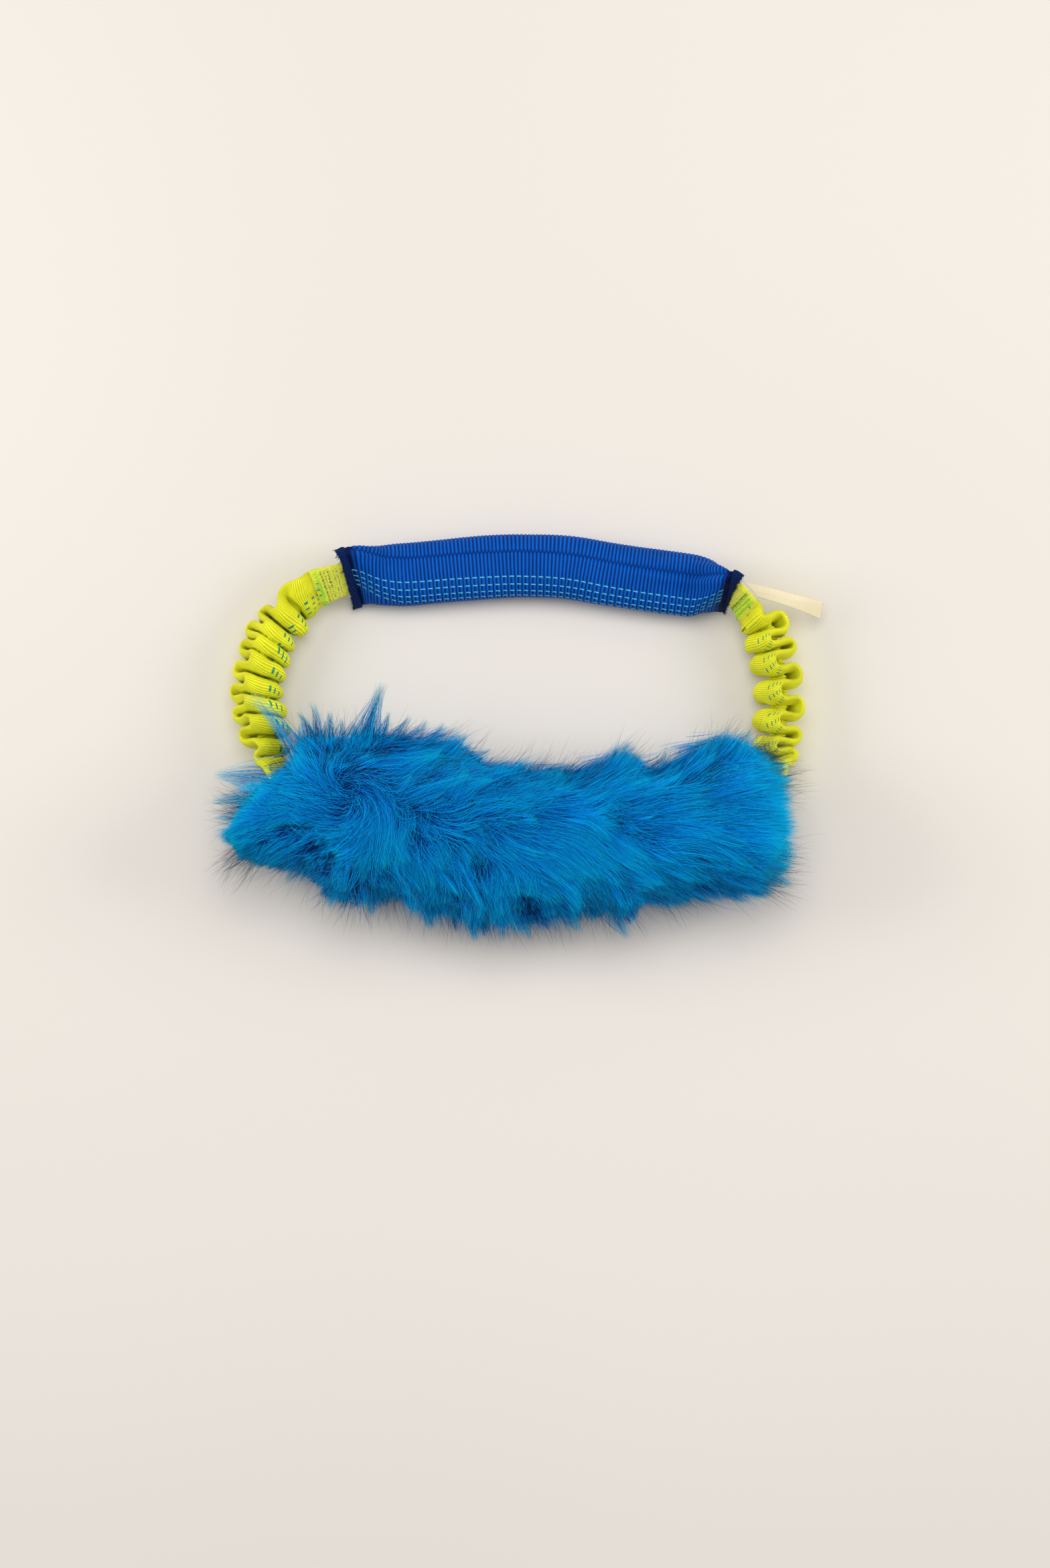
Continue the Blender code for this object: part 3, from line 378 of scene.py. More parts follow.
def mesh_object(name, points, quads, uv, material, normals=None, slots=(), marks=None, unshaded_share=None):
    """A mesh of quads, with a map in which each corner has its own place."""
    mesh = bpy.data.meshes.new(name)
    mesh.vertices.add(len(points))
    mesh.vertices.foreach_set("co", np.ascontiguousarray(points, dtype=np.float32).ravel())
    mesh.loops.add(quads.size)
    mesh.loops.foreach_set("vertex_index", np.ascontiguousarray(quads, dtype=np.int32).ravel())
    mesh.polygons.add(len(quads))
    mesh.polygons.foreach_set("loop_start", np.arange(0, quads.size, 4, dtype=np.int32))
    for each in (material, *slots):
        mesh.materials.append(each)
    if marks is not None:
        mesh.polygons.foreach_set("material_index", np.asarray(marks, dtype=np.int32))
    layer = mesh.uv_layers.new(name="OFBake" if name.startswith("fur_") else "weave")
    layer.data.foreach_set("uv", np.ascontiguousarray(uv, dtype=np.float32).ravel())
    if unshaded_share is not None:
        mesh.attributes.new("unshaded_share", "FLOAT", "POINT").data.foreach_set("value", unshaded_share.astype(np.float32))
    mesh.update(calc_edges=True)
    mesh.validate()
    mesh.polygons.foreach_set("use_smooth", np.full(len(mesh.polygons), True))
    if normals is not None:
        mesh.normals_split_custom_set_from_vertices(normals)
    made = bpy.data.objects.new(name, mesh)
    bpy.context.scene.collection.objects.link(made)
    return made


def grid_quads(rows, columns, closed=True):
    """Corner numbers of the quads of a grid, and the grid places of each quad's corners."""
    i, j = np.meshgrid(np.arange(rows - 1), np.arange(columns if closed else columns - 1), indexing="ij")
    i, j = i.ravel(), j.ravel()
    after = (j + 1) % columns
    quads = np.stack([i * columns + j, i * columns + after, (i + 1) * columns + after, (i + 1) * columns + j], axis=1)
    places = np.stack([np.stack([i, j]), np.stack([i, j + 1]), np.stack([i + 1, j + 1]), np.stack([i + 1, j])], axis=0)
    return quads, places.transpose(2, 0, 1)


def plain_skin(grid, closed=True):
    """A grid as points, quads and map corners that only count its rows and columns."""
    quads, places = grid_quads(*grid.shape[:2], closed)
    return grid.reshape(-1, 3), quads, places / 10.0


def woven_skin(grid, along, whole):
    """A closed grid as points, quads and map corners: each row's place along it, and the way round, whole in all."""
    quads, places = grid_quads(*grid.shape[:2])
    across = np.linspace(0, whole, grid.shape[1] + 1)
    return grid.reshape(-1, 3), quads, np.stack([along[places[..., 0]], across[places[..., 1]]], axis=-1)


def outward(grid, d):
    """Directions square to a closed grid, away from the ring's middle at each row's distance."""
    round_way = np.roll(grid, -1, axis=1) - np.roll(grid, 1, axis=1)
    normal = unit(np.cross(round_way, np.gradient(grid, axis=0)))
    return -normal if (normal * (grid - ring_point(d)[:, None])).sum() < 0 else normal


def tubes(lines, radius, sides=5):
    """Round threads along lines of points, as one set of points, quads and map corners."""
    parts = []
    turn = turns(sides)
    for line in lines:
        line = np.asarray(line)
        way = unit(np.gradient(line, axis=0))
        side = unit(np.cross(way, UP + 0.01))
        up = np.cross(side, way)
        taper = np.ones(len(line))
        taper[[0, -1]] = 0.35
        way_out = side[:, None] * np.cos(turn)[None, :, None] + up[:, None] * np.sin(turn)[None, :, None]
        parts.append((plain_skin(line[:, None] + way_out * (radius * taper)[:, None, None]), 0))
    return joined(parts)[:3]


def joined(parts):
    """One set of points, quads, map corners and slot numbers from several, each given with its slot number."""
    points, quads, uv, marks, first = [], [], [], [], 0
    for (p, q, u), slot in parts:
        points.append(p)
        quads.append(q + first)
        uv.append(u)
        marks.append(np.full(len(q), slot))
        first += len(p)
    return np.concatenate(points), np.concatenate(quads), np.concatenate(uv), np.concatenate(marks)


def dress(made, body, *nodes, slot=None):
    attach(made, body)
    if nodes:
        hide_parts(*nodes)


# ---------------------------------------------------------------- handle


def power(value, share):
    return np.sign(value) * np.abs(value) ** share


def handle_base(d, columns):
    """The handle's skin without its ribs, in rows square to the ring, spread evenly round."""
    turn = 2 * np.pi * np.arange(1201) / 1200
    middle, _, wide, face = ring_frame(d, np.zeros_like(d))
    rows = []
    for k, place in enumerate(d):
        open_left = math.sin(min(max((place - HEM_LENGTH) / LEFT_FLARE, 0), 1) * math.pi / 2)
        open_right = math.sin(min(max((HANDLE_END - HEM_LENGTH - place) / RIGHT_FLARE, 0), 1) * math.pi / 2)
        tilt = LEFT_END_TILT + (RIGHT_END_TILT - LEFT_END_TILT) * float(smooth(place / HANDLE_END))
        end_wide = LEFT_END_WIDE if place < HANDLE_END / 2 else RIGHT_END_WIDE
        w0, f0 = end_wide / 2 * power(np.cos(turn), 0.5), HANDLE_END_THICK / 2 * power(np.sin(turn), 0.5)
        w0, f0 = w0 * math.cos(tilt) - f0 * math.sin(tilt), w0 * math.sin(tilt) + f0 * math.cos(tilt)
        start = math.atan2(HANDLE_WIDE * math.sin(tilt), HANDLE_TALL * math.cos(tilt))
        w1, f1 = HANDLE_WIDE / 2 * np.cos(turn + start), HANDLE_TALL / 2 * np.sin(turn + start)
        share = min(open_left, open_right)
        w, f = evenly(w0 + (w1 - w0) * share, f0 + (f1 - f0) * share, columns)
        rows.append(middle[k] + w[:, None] * wide[k] + f[:, None] * face[k])
    return lifted(np.array(rows), 0.0007)


def evenly(w, f, columns):
    """An outline read again at even steps round."""
    steps = np.concatenate([[0], np.cumsum(np.hypot(np.diff(w), np.diff(f)))])
    even = np.linspace(0, steps[-1], columns + 1)[:-1]
    return np.interp(even, steps, w), np.interp(even, steps, f)


def make_handle(looks):
    """The handle's webbing with its ribs, seam folds and the four rows of tracer threads."""
    columns, per_rib = 120, 6
    d = np.arange(0.0008, HANDLE_END - 0.0004, RIB_PITCH / per_rib)
    base = handle_base(d, columns)
    normal = outward(base, d)
    s, u = np.meshgrid(np.arange(columns) / columns * HANDLE_ROUND, d)
    fold = np.minimum(np.minimum(s, HANDLE_ROUND - s), np.abs(s - HANDLE_ROUND / 2))
    lower = (s > 0) & (s < HANDLE_ROUND / 2)
    turn = np.pi * (u / RIB_PITCH + np.where(lower, 0.5, 0.0))
    rib = np.abs(np.sin(turn + 0.16 * noise_at(base, 0.0045))) ** 0.8 - 0.5
    ends = smooth((d - 0.002) / 0.010) * smooth((HANDLE_END - 0.002 - d) / 0.010)
    deep = RIB_HEIGHT * (0.35 + 0.65 * ends)[:, None] * np.clip((fold - 0.0006) / 0.0010, 0, 1)
    knot = 0.0004 * bell(fold, 0, 0.0007) * (0.4 + np.cos(2 * np.pi * u / RIB_PITCH))
    crease = (smooth((d - 0.150) / 0.05) * (1 - smooth((d - 0.222) / 0.012)))[:, None]
    seam = knot - 0.0008 * bell(fold, 0, 0.0012) + 0.0005 * bell(fold, 0.0035, 0.0018)
    seam = seam + 0.0016 * crease * bell(fold, 0.0055, 0.0030)
    seam = seam + 0.0010 * bell(d[:, None], 0.2225, 0.008) * bell(fold, 0, 0.004)
    crumple = noise_at(base, 0.011, 3.0) * 0.0011 * (1 - ends)[:, None] + noise_at(base, 0.03, 5.0) * 0.0006
    points = lifted(base + normal * (deep * rib + seam + crumple - 0.0001)[..., None], 0.0004)
    dashes = []
    per_metre = columns / HANDLE_ROUND
    for row, after in zip(TRACER_ROWS, (*TRACER_ROWS[1:], TRACER_ROWS[-1] + 0.0035)):
        for start in np.arange(0.0048, HANDLE_END - 0.007, 2 * RIB_PITCH):
            rows = (start + np.linspace(0, 0.0027, 6) - d[0]) / (d[1] - d[0])
            dashes.append(dash_on(points, normal, rows, row * per_metre, TRACER_HALF * per_metre, 0.00026))
            for k in (0, -1):
                dashes.append(ladder_on(points, normal, rows[k], row * per_metre, after * per_metre))
    found = [(woven_skin(points, d * 1000, HANDLE_ROUND * 1000), 0)]
    found += [(each, 1 if n % 3 == 0 else 2) for n, each in enumerate(dashes) if each is not None]
    *skin, marks = joined(found)
    made = mesh_object("handle_webbing", *skin, looks["blue"], slots=(looks["cyan"], looks["ladder"]), marks=marks)
    dress(made, "handle", "handle_sleeve", slot="blue_webbing")


def pick(grid, rows, column):
    """Points of a grid at broken row numbers and one broken column number."""
    rows = np.clip(rows, 0, len(grid) - 1.001)
    i, j = np.floor(rows).astype(int), int(math.floor(column))
    a, b = (rows - i)[:, None], column - j
    count = grid.shape[1]
    low = grid[i, j % count] * (1 - b) + grid[i, (j + 1) % count] * b
    high = grid[i + 1, j % count] * (1 - b) + grid[i + 1, (j + 1) % count] * b
    return low * (1 - a) + high * a


def dash_on(points, normal, rows, column, half, lift):
    """A short raised thread that lies on a grid along its rows."""
    if rows[0] < 0 or rows[-1] > len(points) - 2:
        return None
    lines = []
    for side, rise in ((-1, 0.15), (-0.5, 0.8), (0, 1.0), (0.5, 0.8), (1, 0.15)):
        at = column + side * half
        hump = np.sin(np.linspace(0.12, 0.88, len(rows)) * np.pi)[:, None] ** 0.5
        lines.append(pick(points, rows, at) + pick(normal, rows, at) * (lift * rise * hump))
    return plain_skin(np.stack(lines, axis=1), closed=False)


def ladder_on(points, normal, row, column, after):
    """A fine thread that lies on a grid across its rows, from one tracer row to the next."""
    if row < 1 or row > len(points) - 3:
        return None
    columns = np.linspace(column, after, 9)
    lines = []
    for side, rise in ((-1, 0.1), (0, 1.0), (1, 0.1)):
        at = np.array([row + side * 0.4])
        lines.append(np.array([pick(points, at, c)[0] + pick(normal, at, c)[0] * 0.00012 * rise for c in columns]))
    return plain_skin(np.stack(lines, axis=1), closed=False)


def make_hem(hand, tilt, end, way, wide, looks, reach, flare, mouth):
    """A sewn band of raw webbing round a flattened end, frayed along its outer edge."""
    columns, thick = 220, 0.0009
    half_wide, half_thick = wide / 2 + 0.0002, HANDLE_END_THICK / 2 + 0.0004
    edge = RANDOM.normal(0, 0.00035, columns)
    turn = turns(columns)
    curl = np.cos(turn)
    high = smooth((curl - 0.35) / 0.65) ** 1.5
    rows = []
    # From the band's seam over its outside to the frayed edge and back inside: place along it and swell
    for share, swell in ((1.0, 0.0), (0.92, 0.7), (0.75, 1.0), (0.5, 0.92), (0.25, 1.0), (0.05, 0.9), (-0.05, 0.3),
                         (-0.05, -0.3), (0.1, -0.9), (0.35, -1.3), (0.8, -1.6)):
        place = end + way * reach * (share - 0.06)
        closed = mouth + (1 - mouth) * min(max(share, 0), 1)
        middle, along, across, face = (each[0] for each in ring_frame(np.array([place]), np.array([tilt])))
        w = (half_wide + thick * swell * 0.8) * power(curl, 0.5)
        f = (half_thick * closed + thick * swell) * power(np.sin(turn), 0.5)
        ring = middle + w[:, None] * across + f[:, None] * face
        out = np.clip(1 - share * 1.5, 0, 1)
        ring = ring - way * along * (edge * out)[:, None]
        ring = ring - way * along * (flare * np.clip(1.1 - share, 0, 1) * high)[:, None]
        rows.append(ring + face * (0.0012 * out * np.clip(curl, 0, 1) ** 3)[:, None])
    rows = np.array(rows)
    rows += noise_at(rows, 0.0016, 9.0)[..., None] * 0.00035 * unit(rows - rows.mean(axis=1, keepdims=True))
    rows = lifted(rows, 0.0003)
    if way > 0:
        rows = rows[::-1]
    fray = []
    away = -way * ring_frame(np.array([end]))[1][0]
    t = np.linspace(0, 1, 5)[:, None]
    for _ in range(130):
        start = rows[-6 if way > 0 else 5, RANDOM.integers(columns)]
        side = unit(RANDOM.normal(0, 1, 3))
        length = RANDOM.uniform(0.0006, 0.0018)
        fray.append(start + away * length * t + side * length * 0.8 * t**2)
    points, quads, uv, marks = joined([(plain_skin(rows), 0), (tubes(fray, 0.00009, 4), 1)])
    made = mesh_object(f"{hand}_hem_band", lifted(points, 0.0003), quads, uv, looks["navy"],
                       slots=(looks["navy_dark"],), marks=marks)
    dress(made, "handle", f"{hand}_hem", slot="navy_hem")


# ---------------------------------------------------------------- flat sewn ends


def tack_grid(start, end, columns):
    """A flat sewn end, which grows to the gathered leg's section towards its end."""
    d = np.linspace(start, end, max(int(abs(end - start) / 0.0003), 8))
    middle, _, wide, face = ring_frame(d)
    swell = smooth(((d - start) / (end - start) - 0.55) / 0.45)[:, None]
    turn = (2 * np.pi * np.arange(401) / 400)[None]
    power_share = 0.5 + 0.5 * swell
    half_wide = (STRAP_WIDTH + (LEG_WIDTH - STRAP_WIDTH) * swell) / 2
    half_thick = (TACK_THICK + (LEG_END_THICK - TACK_THICK) * swell) / 2
    w, f = half_wide * power(np.cos(turn), power_share), half_thick * power(np.sin(turn), power_share)
    w, f = (np.array(each) for each in zip(*(evenly(a, b, columns) for a, b in zip(w, f))))
    return d, middle[:, None] + w[..., None] * wide[:, None] + f[..., None] * face[:, None]


def make_tack(name, body, start, end, rows, seed, looks):
    """A leg's flat end with its rows of zigzag stitches and stray tracers."""
    rng = np.random.default_rng(seed)
    columns = 96
    gap = math.copysign(SEWN_GAP, end - start)
    start, end = start + gap, end - gap
    d, grid = tack_grid(start, end, columns)
    normal = outward(grid, d)
    grid = grid + normal * (noise_at(grid, 0.0022, 2.0) * 0.00035)[..., None]
    parts = [(woven_skin(grid, d * 1000, STRAP_ROUND * 1000), 0)]
    length = end - start
    for place, kind, amplitude, pitch, radius in rows:
        line = []
        for face_side in (0, 1):
            column = (np.arange(0.06, 0.94, pitch / (2 * STRAP_WIDTH)) * 0.5 + 0.5 * face_side) * columns
            swing = np.where(np.arange(len(column)) % 2 == 0, 1, -1)
            row = (place * length + swing * amplitude + rng.normal(0, amplitude * 0.25, len(column))) / length
            row = np.clip(row, 0.01, 0.99) * (len(d) - 1)
            spots = np.array([pick(grid, np.array([r]), c)[0] + pick(normal, np.array([r]), c)[0] * radius * 0.9
                              for r, c in zip(row, column)])
            # Four short steps from each stitch hole to the next
            t = np.linspace(0, len(spots) - 1, 4 * (len(spots) - 1) + 1)
            k = np.minimum(np.floor(t).astype(int), len(spots) - 2)
            part = (t - k)[:, None]
            line.append(spots[k] * (1 - part) + spots[k + 1] * part)
        parts.append((tubes(line, radius), kind))
    for _ in range(34):
        place, column = rng.uniform(0.03, 0.9), rng.uniform(0.0, 1.0) * columns
        at = place * (len(d) - 1) + np.linspace(0, 0.0016, 5) / abs(d[1] - d[0])
        piece = dash_on(grid, normal, at, column, 0.0004 / STRAP_ROUND * columns, 0.0004)
        if piece is not None:
            parts.append((piece, 4))
    *skin, marks = joined(parts)
    made = mesh_object(f"{name}_bartack", *skin, looks["tack"], marks=marks,
                       slots=[looks[each] for each in ("beige", "neon", "olive", "teal")])
    dress(made, body, f"{name}_tack", slot="stitched_lime")


# ---------------------------------------------------------------- gathered legs


# Where the origin lies in the photograph, and the photograph's pixels to the metre
PHOTO_MIDDLE, PHOTO_SCALE = (791.8, 1093.3), 2500


def from_photo(x, y):
    return (x - PHOTO_MIDDLE[0]) / PHOTO_SCALE, (PHOTO_MIDDLE[1] - y) / PHOTO_SCALE


def to_photo(p):
    return p[..., 0] * PHOTO_SCALE + PHOTO_MIDDLE[0], PHOTO_MIDDLE[1] - p[..., 1] * PHOTO_SCALE


def leg_share(span, x, y):
    """The share of a gathered stretch, from the handle, that lies closest to a place seen from above."""
    d = np.linspace(min(span), max(span), 2000)
    p = ring_point(d)
    return (float(d[np.argmin(np.hypot(p[:, 0] - x, p[:, 1] - y))]) - span[0]) / (span[1] - span[0])


# Lobes of each leg in the order from the handle: the ends of its crest at the ring's outside and inside, as
# places in the photograph, and how far it stands out to the upper or, below zero, to the lower face
LEFT_LOBES = [
    ((452, 874), (478, 925), 0.35), ((432, 888), (468, 934), -0.3),
    ((415, 910), (457, 945), 0.85), ((402, 920), (447, 958), -0.8),
    ((391, 927), (441, 968), 1.0), ((380, 938), (434, 978), -1.0),
    ((370, 949), (427, 988), 1.0), ((364, 962), (421, 998), -1.0),
    ((358, 977), (418, 1008), 1.0), ((351, 996), (416, 1021), -1.0),
    ((345, 1014), (414, 1034), 1.0), ((343, 1031), (414, 1049), -1.0),
    ((343, 1048), (414, 1063), 1.0), ((346, 1065), (416, 1077), -1.0),
    ((351, 1083), (421, 1091), 1.0), ((358, 1100), (424, 1103), -0.9),
    ((371, 1120), (426, 1116), 0.55), ((388, 1133), (428, 1128), -0.3),
]
RIGHT_LOBES = [
    ((1130, 928), (1118, 936), 0.55), ((1150, 934), (1150, 934), -0.95),
    ((1150, 955), (1142, 958), 1.0), ((1156, 968), (1156, 968), -1.0),
    ((1158, 986), (1150, 988), 1.0), ((1160, 1011), (1160, 1011), -1.0),
    ((1163, 1030), (1156, 1032), 1.0), ((1165, 1056), (1165, 1056), -1.0),
    ((1163, 1076), (1156, 1078), 1.0), ((1163, 1098), (1163, 1098), -1.0),
    ((1160, 1114), (1152, 1116), 0.9), ((1160, 1132), (1160, 1132), -0.7),
]


def leg_grid(span, lobes, columns, per_lobe):
    """The gathered webbing, a flattened tube that winds from lobe to lobe of alternate faces.

    Its points, the distance along the webbing at each row, and how far each row stands out.
    """
    count = len(lobes)
    t = np.linspace(-1, count, (count + 1) * per_lobe + 1)
    turn = turns(columns)
    w = power(np.cos(turn), 0.82)[None]
    outer, inner = (np.maximum.accumulate([0.0, *(leg_share(span, *from_photo(*lobe[k])) for lobe in lobes), 1.0])
                    for k in (0, 1))
    height = np.array([0.0, *(lobe[2] for lobe in lobes), 0.0])
    k = np.minimum(np.floor(t + 1).astype(int), count)
    tau = (t + 1 - k)[:, None]
    share_wide = (w + 1) / 2
    bend = 0.10 * np.sin(np.pi * w)
    before = inner[k][:, None] * (1 - share_wide) + outer[k][:, None] * share_wide
    after = inner[k + 1][:, None] * (1 - share_wide) + outer[k + 1][:, None] * share_wide
    gap = after - before
    length = abs(span[1] - span[0])
    strong = np.minimum(np.abs(height[k]), np.abs(height[k + 1]))[:, None]
    over = 1.25 * strong * gap * np.sin(2 * np.pi * tau) / (2 * np.pi) * 1.15
    share = before + gap * tau + over + bend * gap * strong
    share = np.clip(share, 0, 1)
    level = (1 - np.cos(np.pi * tau)) / 2
    lift = height[k][:, None] * (1 - level) + height[k + 1][:, None] * level
    at_ends = 1 - smooth(np.minimum(t + 1, count - t) / 1.6)
    thick = LOBE_THICK + (LEG_END_THICK / 2 - LOBE_THICK) * at_ends[:, None]
    dome = 1 - 0.16 * np.abs(w) ** 4
    centre_f = (LOBE_REACH - LOBE_THICK) * lift * dome
    middle, along, wide, face = ring_frame(span[0] + share * (span[1] - span[0]))
    slope_d = np.gradient(share * length, axis=0)
    slope_f = np.gradient(centre_f, axis=0)
    size = np.maximum(np.hypot(slope_d, slope_f), 1e-9)
    step_d, step_f = slope_f / size * np.sign(span[0] - span[1]), slope_d / size
    out = thick * power(np.sin(turn), 0.75)[None]
    swell = 1 + 0.05 * np.abs(lift) - 0.03
    grid = (middle + wide * (LEG_WIDTH / 2 * w * swell)[..., None] + face * (centre_f + out * step_f)[..., None]
            + along * (out * step_d)[..., None])
    arc = np.concatenate([np.zeros((1, columns)), np.cumsum(size, axis=0)])[:len(t)]
    return grid, arc.mean(axis=1), lift[:, 0]


def inner_folds(span):
    """The webbing's small inner folds, drawn close round the cord."""
    share = np.linspace(*CORD_ENDS, 260)
    middle, _, wide, face = ring_frame(span[0] + share * (span[1] - span[0]))
    turn = turns(36)[None]
    fold = np.sin(share * abs(span[1] - span[0]) / 0.0029 * 2 * np.pi)[:, None]
    radius = 0.0041 + 0.0004 * fold + 0.0004 * np.sin(3 * turn + share[:, None] * 60)
    return (middle[:, None] + wide[:, None] * (radius * np.cos(turn) * 1.5)[..., None]
            + face[:, None] * (radius * np.sin(turn))[..., None])


def how_open(grid, normal):
    """How free each point of a folded skin is from cloth close in front of it, from 0 to 1; it sets the painted shade
    in the creases.
    """
    tree = BVHTree.FromPolygons(grid.reshape(-1, 3).tolist(), grid_quads(*grid.shape[:2])[0].tolist())
    side = unit(np.roll(grid, -1, axis=1) - grid)
    other = np.cross(normal, side)
    total, reach = np.zeros(grid.shape[:2]), 0.007
    for a, b in ((0, 0), (0.9, 0), (-0.9, 0), (0, 0.9), (0, -0.9)):
        way = unit(normal + side * a + other * b).reshape(-1, 3)
        start = (grid + normal * 0.0004).reshape(-1, 3)
        hits = [tree.ray_cast(p, w, reach)[3] for p, w in zip(start.tolist(), way.tolist())]
        total += np.array([reach if hit is None else hit for hit in hits]).reshape(total.shape) / reach / 5
    return smooth((total - 0.15) / 0.55)


def cord_tube(span, low, high, radius):
    """A stretch of the shock cord along a leg's middle, between two shares of the leg from the handle."""
    d = span[0] + np.linspace(low, high, max(int(70 * (high - low)), 8)) * (span[1] - span[0])
    middle, _, wide, face = ring_frame(d)
    turn = turns(20)[None, :, None]
    ring = middle[:, None] + (wide[:, None] * np.cos(turn) + face[:, None] * np.sin(turn)) * radius
    return woven_skin(ring, d * 1000, 19)


def tracers(grid, normal, here, total, columns_at, lift, crest):
    """The dashes of a leg's tracer threads on one of its pieces, left out where the webbing dips below a crest."""
    columns = grid.shape[1]
    dashes = []
    for n, column in enumerate(columns_at):
        for start in np.arange(0.001 + 0.0005 * n, total, 0.0043):
            if here[0] <= start and start + 0.0018 <= here[-1]:
                rows = np.interp(start + np.linspace(0, 0.0018, 6), here, np.arange(len(here)))
                if lift[int(rows[0])] >= crest:
                    dashes.append(dash_on(grid, normal, rows, column * columns, TRACER_HALF / STRAP_ROUND * columns,
                                          0.0002))
    return [each for each in dashes if each is not None]


def make_leg(hand, span, lobes, columns_at, crest, shade, looks):
    """A leg's gathers, inner folds, cord cover and cord core, each in an upper and a lower piece.
    """
    grid, arc, lift = leg_grid(span, lobes, columns=112, per_lobe=22)
    normal = outward(grid, np.linspace(*span, len(grid)))
    soft = noise_at(grid, 0.0075, 11.0) * 0.0007 + noise_at(grid, 0.0028, 12.0) * 0.00022
    grid = lifted(grid + normal * soft[..., None], 0.0006)
    cut = int(np.argmin(np.abs(arc - (arc[-1] - LOWER_PIECE))))
    free = how_open(grid, normal)
    inner = inner_folds(span)
    share_cut = leg_share(span, *grid[cut].mean(axis=0)[:2])
    inner_cut = int(round(share_cut * (len(inner) - 1)))
    for name, rows, piece, ends in (
            ("upper", slice(0, cut + 1), inner[:inner_cut + 1], (CORD_ENDS[0], share_cut)),
            ("lower", slice(cut, len(grid)), inner[inner_cut:], (share_cut, CORD_ENDS[1]))):
        part, here = grid[rows], arc[rows]
        dashes = tracers(part, normal[rows], here, arc[-1], columns_at, lift[rows], crest)
        *skin, marks = joined([(woven_skin(part, here * 1000, STRAP_ROUND * 1000), 0)] + [(each, 1) for each in dashes])
        # Painted shade in the creases: points with cloth close in front of them get darker, no darker than the leg's
        # shade level allows, and the inner folds get one painted shade all over.
        unshaded_share = np.ones(len(skin[0]))
        unshaded_share[:free[rows].size] = shade + (1 - shade) * free[rows].ravel()
        outer = mesh_object(f"{hand}_gathers_{name}", *skin, looks["gathers"], slots=(looks["teal"],), marks=marks,
                            unshaded_share=unshaded_share)
        folds = mesh_object(f"{hand}_inner_folds_{name}", *woven_skin(piece, np.linspace(0, 90, len(inner)), 30),
                            looks["gathers"], unshaded_share=np.full(piece.shape[0] * piece.shape[1], shade + 0.25))
        cover = mesh_object(f"{hand}_cord_braid_{name}", *cord_tube(span, *ends, 0.0030), looks["braid"])
        core = mesh_object(f"{hand}_cord_rubber_{name}", *cord_tube(span, *ends, 0.0022), looks["rubber"])
        for each, node, slot in ((outer, "bungee_sleeve", "lime_webbing"), (folds, "bungee_sleeve", "lime_webbing"),
                                 (cover, "cord_cover", "cord_cover"), (core, "cord_core", "rubber_strands")):
            if name == "upper":
                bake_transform(each)
            else:
                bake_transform(each)
            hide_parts(f"{hand}_{node}")


# ---------------------------------------------------------------- label


def make_label(looks):
    """The bare ribbon, sewn slanting to the right flat end, that bends down towards the table."""
    rows, columns = 60, 14
    middle, _, wide, face = ring_frame(HANDLE_END + np.linspace(0.0008, 0.0118, columns))
    root = middle + wide * 0.0119 - face * 0.00269
    run = np.array((math.cos(math.radians(-13)), math.sin(math.radians(-13)), 0))
    across = np.array((-run[1], run[0], 0)) * 0.0100
    tip = (root[0] + root[-1]) / 2 + run * 0.0462
    share, n = np.meshgrid(np.linspace(0, 1, rows), np.arange(columns), indexing="ij")
    end = tip + across * (0.5 - n / (columns - 1))[..., None]
    grid = root * (1 - share)[..., None] + end * share[..., None]
    grid[..., 2] = root[:, 2] - 0.022 * share**2 + 0.0004 * np.sin(share * 9 + n * 0.25) * share
    quads, places = grid_quads(rows, columns, closed=False)
    made = mesh_object("label_ribbon", grid.reshape(-1, 3), quads, places * (0.8, 0.7), looks["ribbon"])
    wall = made.modifiers.new("wall", "SOLIDIFY")
    wall.thickness = 0.00028
    wall.offset = 0
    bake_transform(made)
    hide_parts("label_tab")


# ---------------------------------------------------------------- fur

# The pile's outline seen from above, in millimetres: its edge at the ring's inside and at its outside
FUR_INSIDE = np.array([
    (-176, -58), (-171, -46), (-157, -33), (-145, -22), (-138, -14.7), (-134, -4), (-127, -2), (-117, -4.5),
    (-107, -2), (-97, -2.7), (-85, -2.3), (-67, -5), (-56, -4.7), (-44, -6), (-33, -13.5), (-28, -19.5),
    (-5, -22.7), (10, -22), (26, -24), (37, -22.7), (46, -17), (56, -12), (63, -14.7), (70, -22.5),
    (78, -23), (88, -18.7), (98, -12), (110, -5.5), (121, -5.5), (130, -9), (137, -12), (144, -20),
])
FUR_OUTSIDE = np.array([
    (-176, -67), (-172, -75.5), (-162, -78), (-152, -79), (-145, -81.5), (-133, -85), (-126, -90.7),
    (-120, -98), (-109, -104), (-99, -106), (-91, -101.5), (-80, -99), (-72, -104), (-59, -109), (-44, -110.7),
    (-32, -118), (-16, -116.7), (-9, -114), (7, -116.7), (14, -111.5), (30, -108.7), (43, -107.5),
    (50, -110), (55, -114), (61, -108.7), (67, -102.7), (90, -100.7), (101, -97.5), (124, -97.5),
    (137, -96.7), (144, -92),
])
FUR_ENDS = (-176.0, -150.0, 128.0, 145.0)
HAIR_ENDS = (-196.0, -150.0, 128.0, 166.0)
# Hairs that grow along the pile end up to 19 and 22 mm past these places, and none goes out of the box
REACH_LEFT, REACH_RIGHT = -0.171, 0.138
HAIR_BOX = np.array([(-0.1965, -0.1330, 0), (0.1965, 0.1330, 0.0815)])
FUR_AXIS_HEIGHT, FUR_TOP, FUR_FOOT = 0.033, 0.0395, 0.039
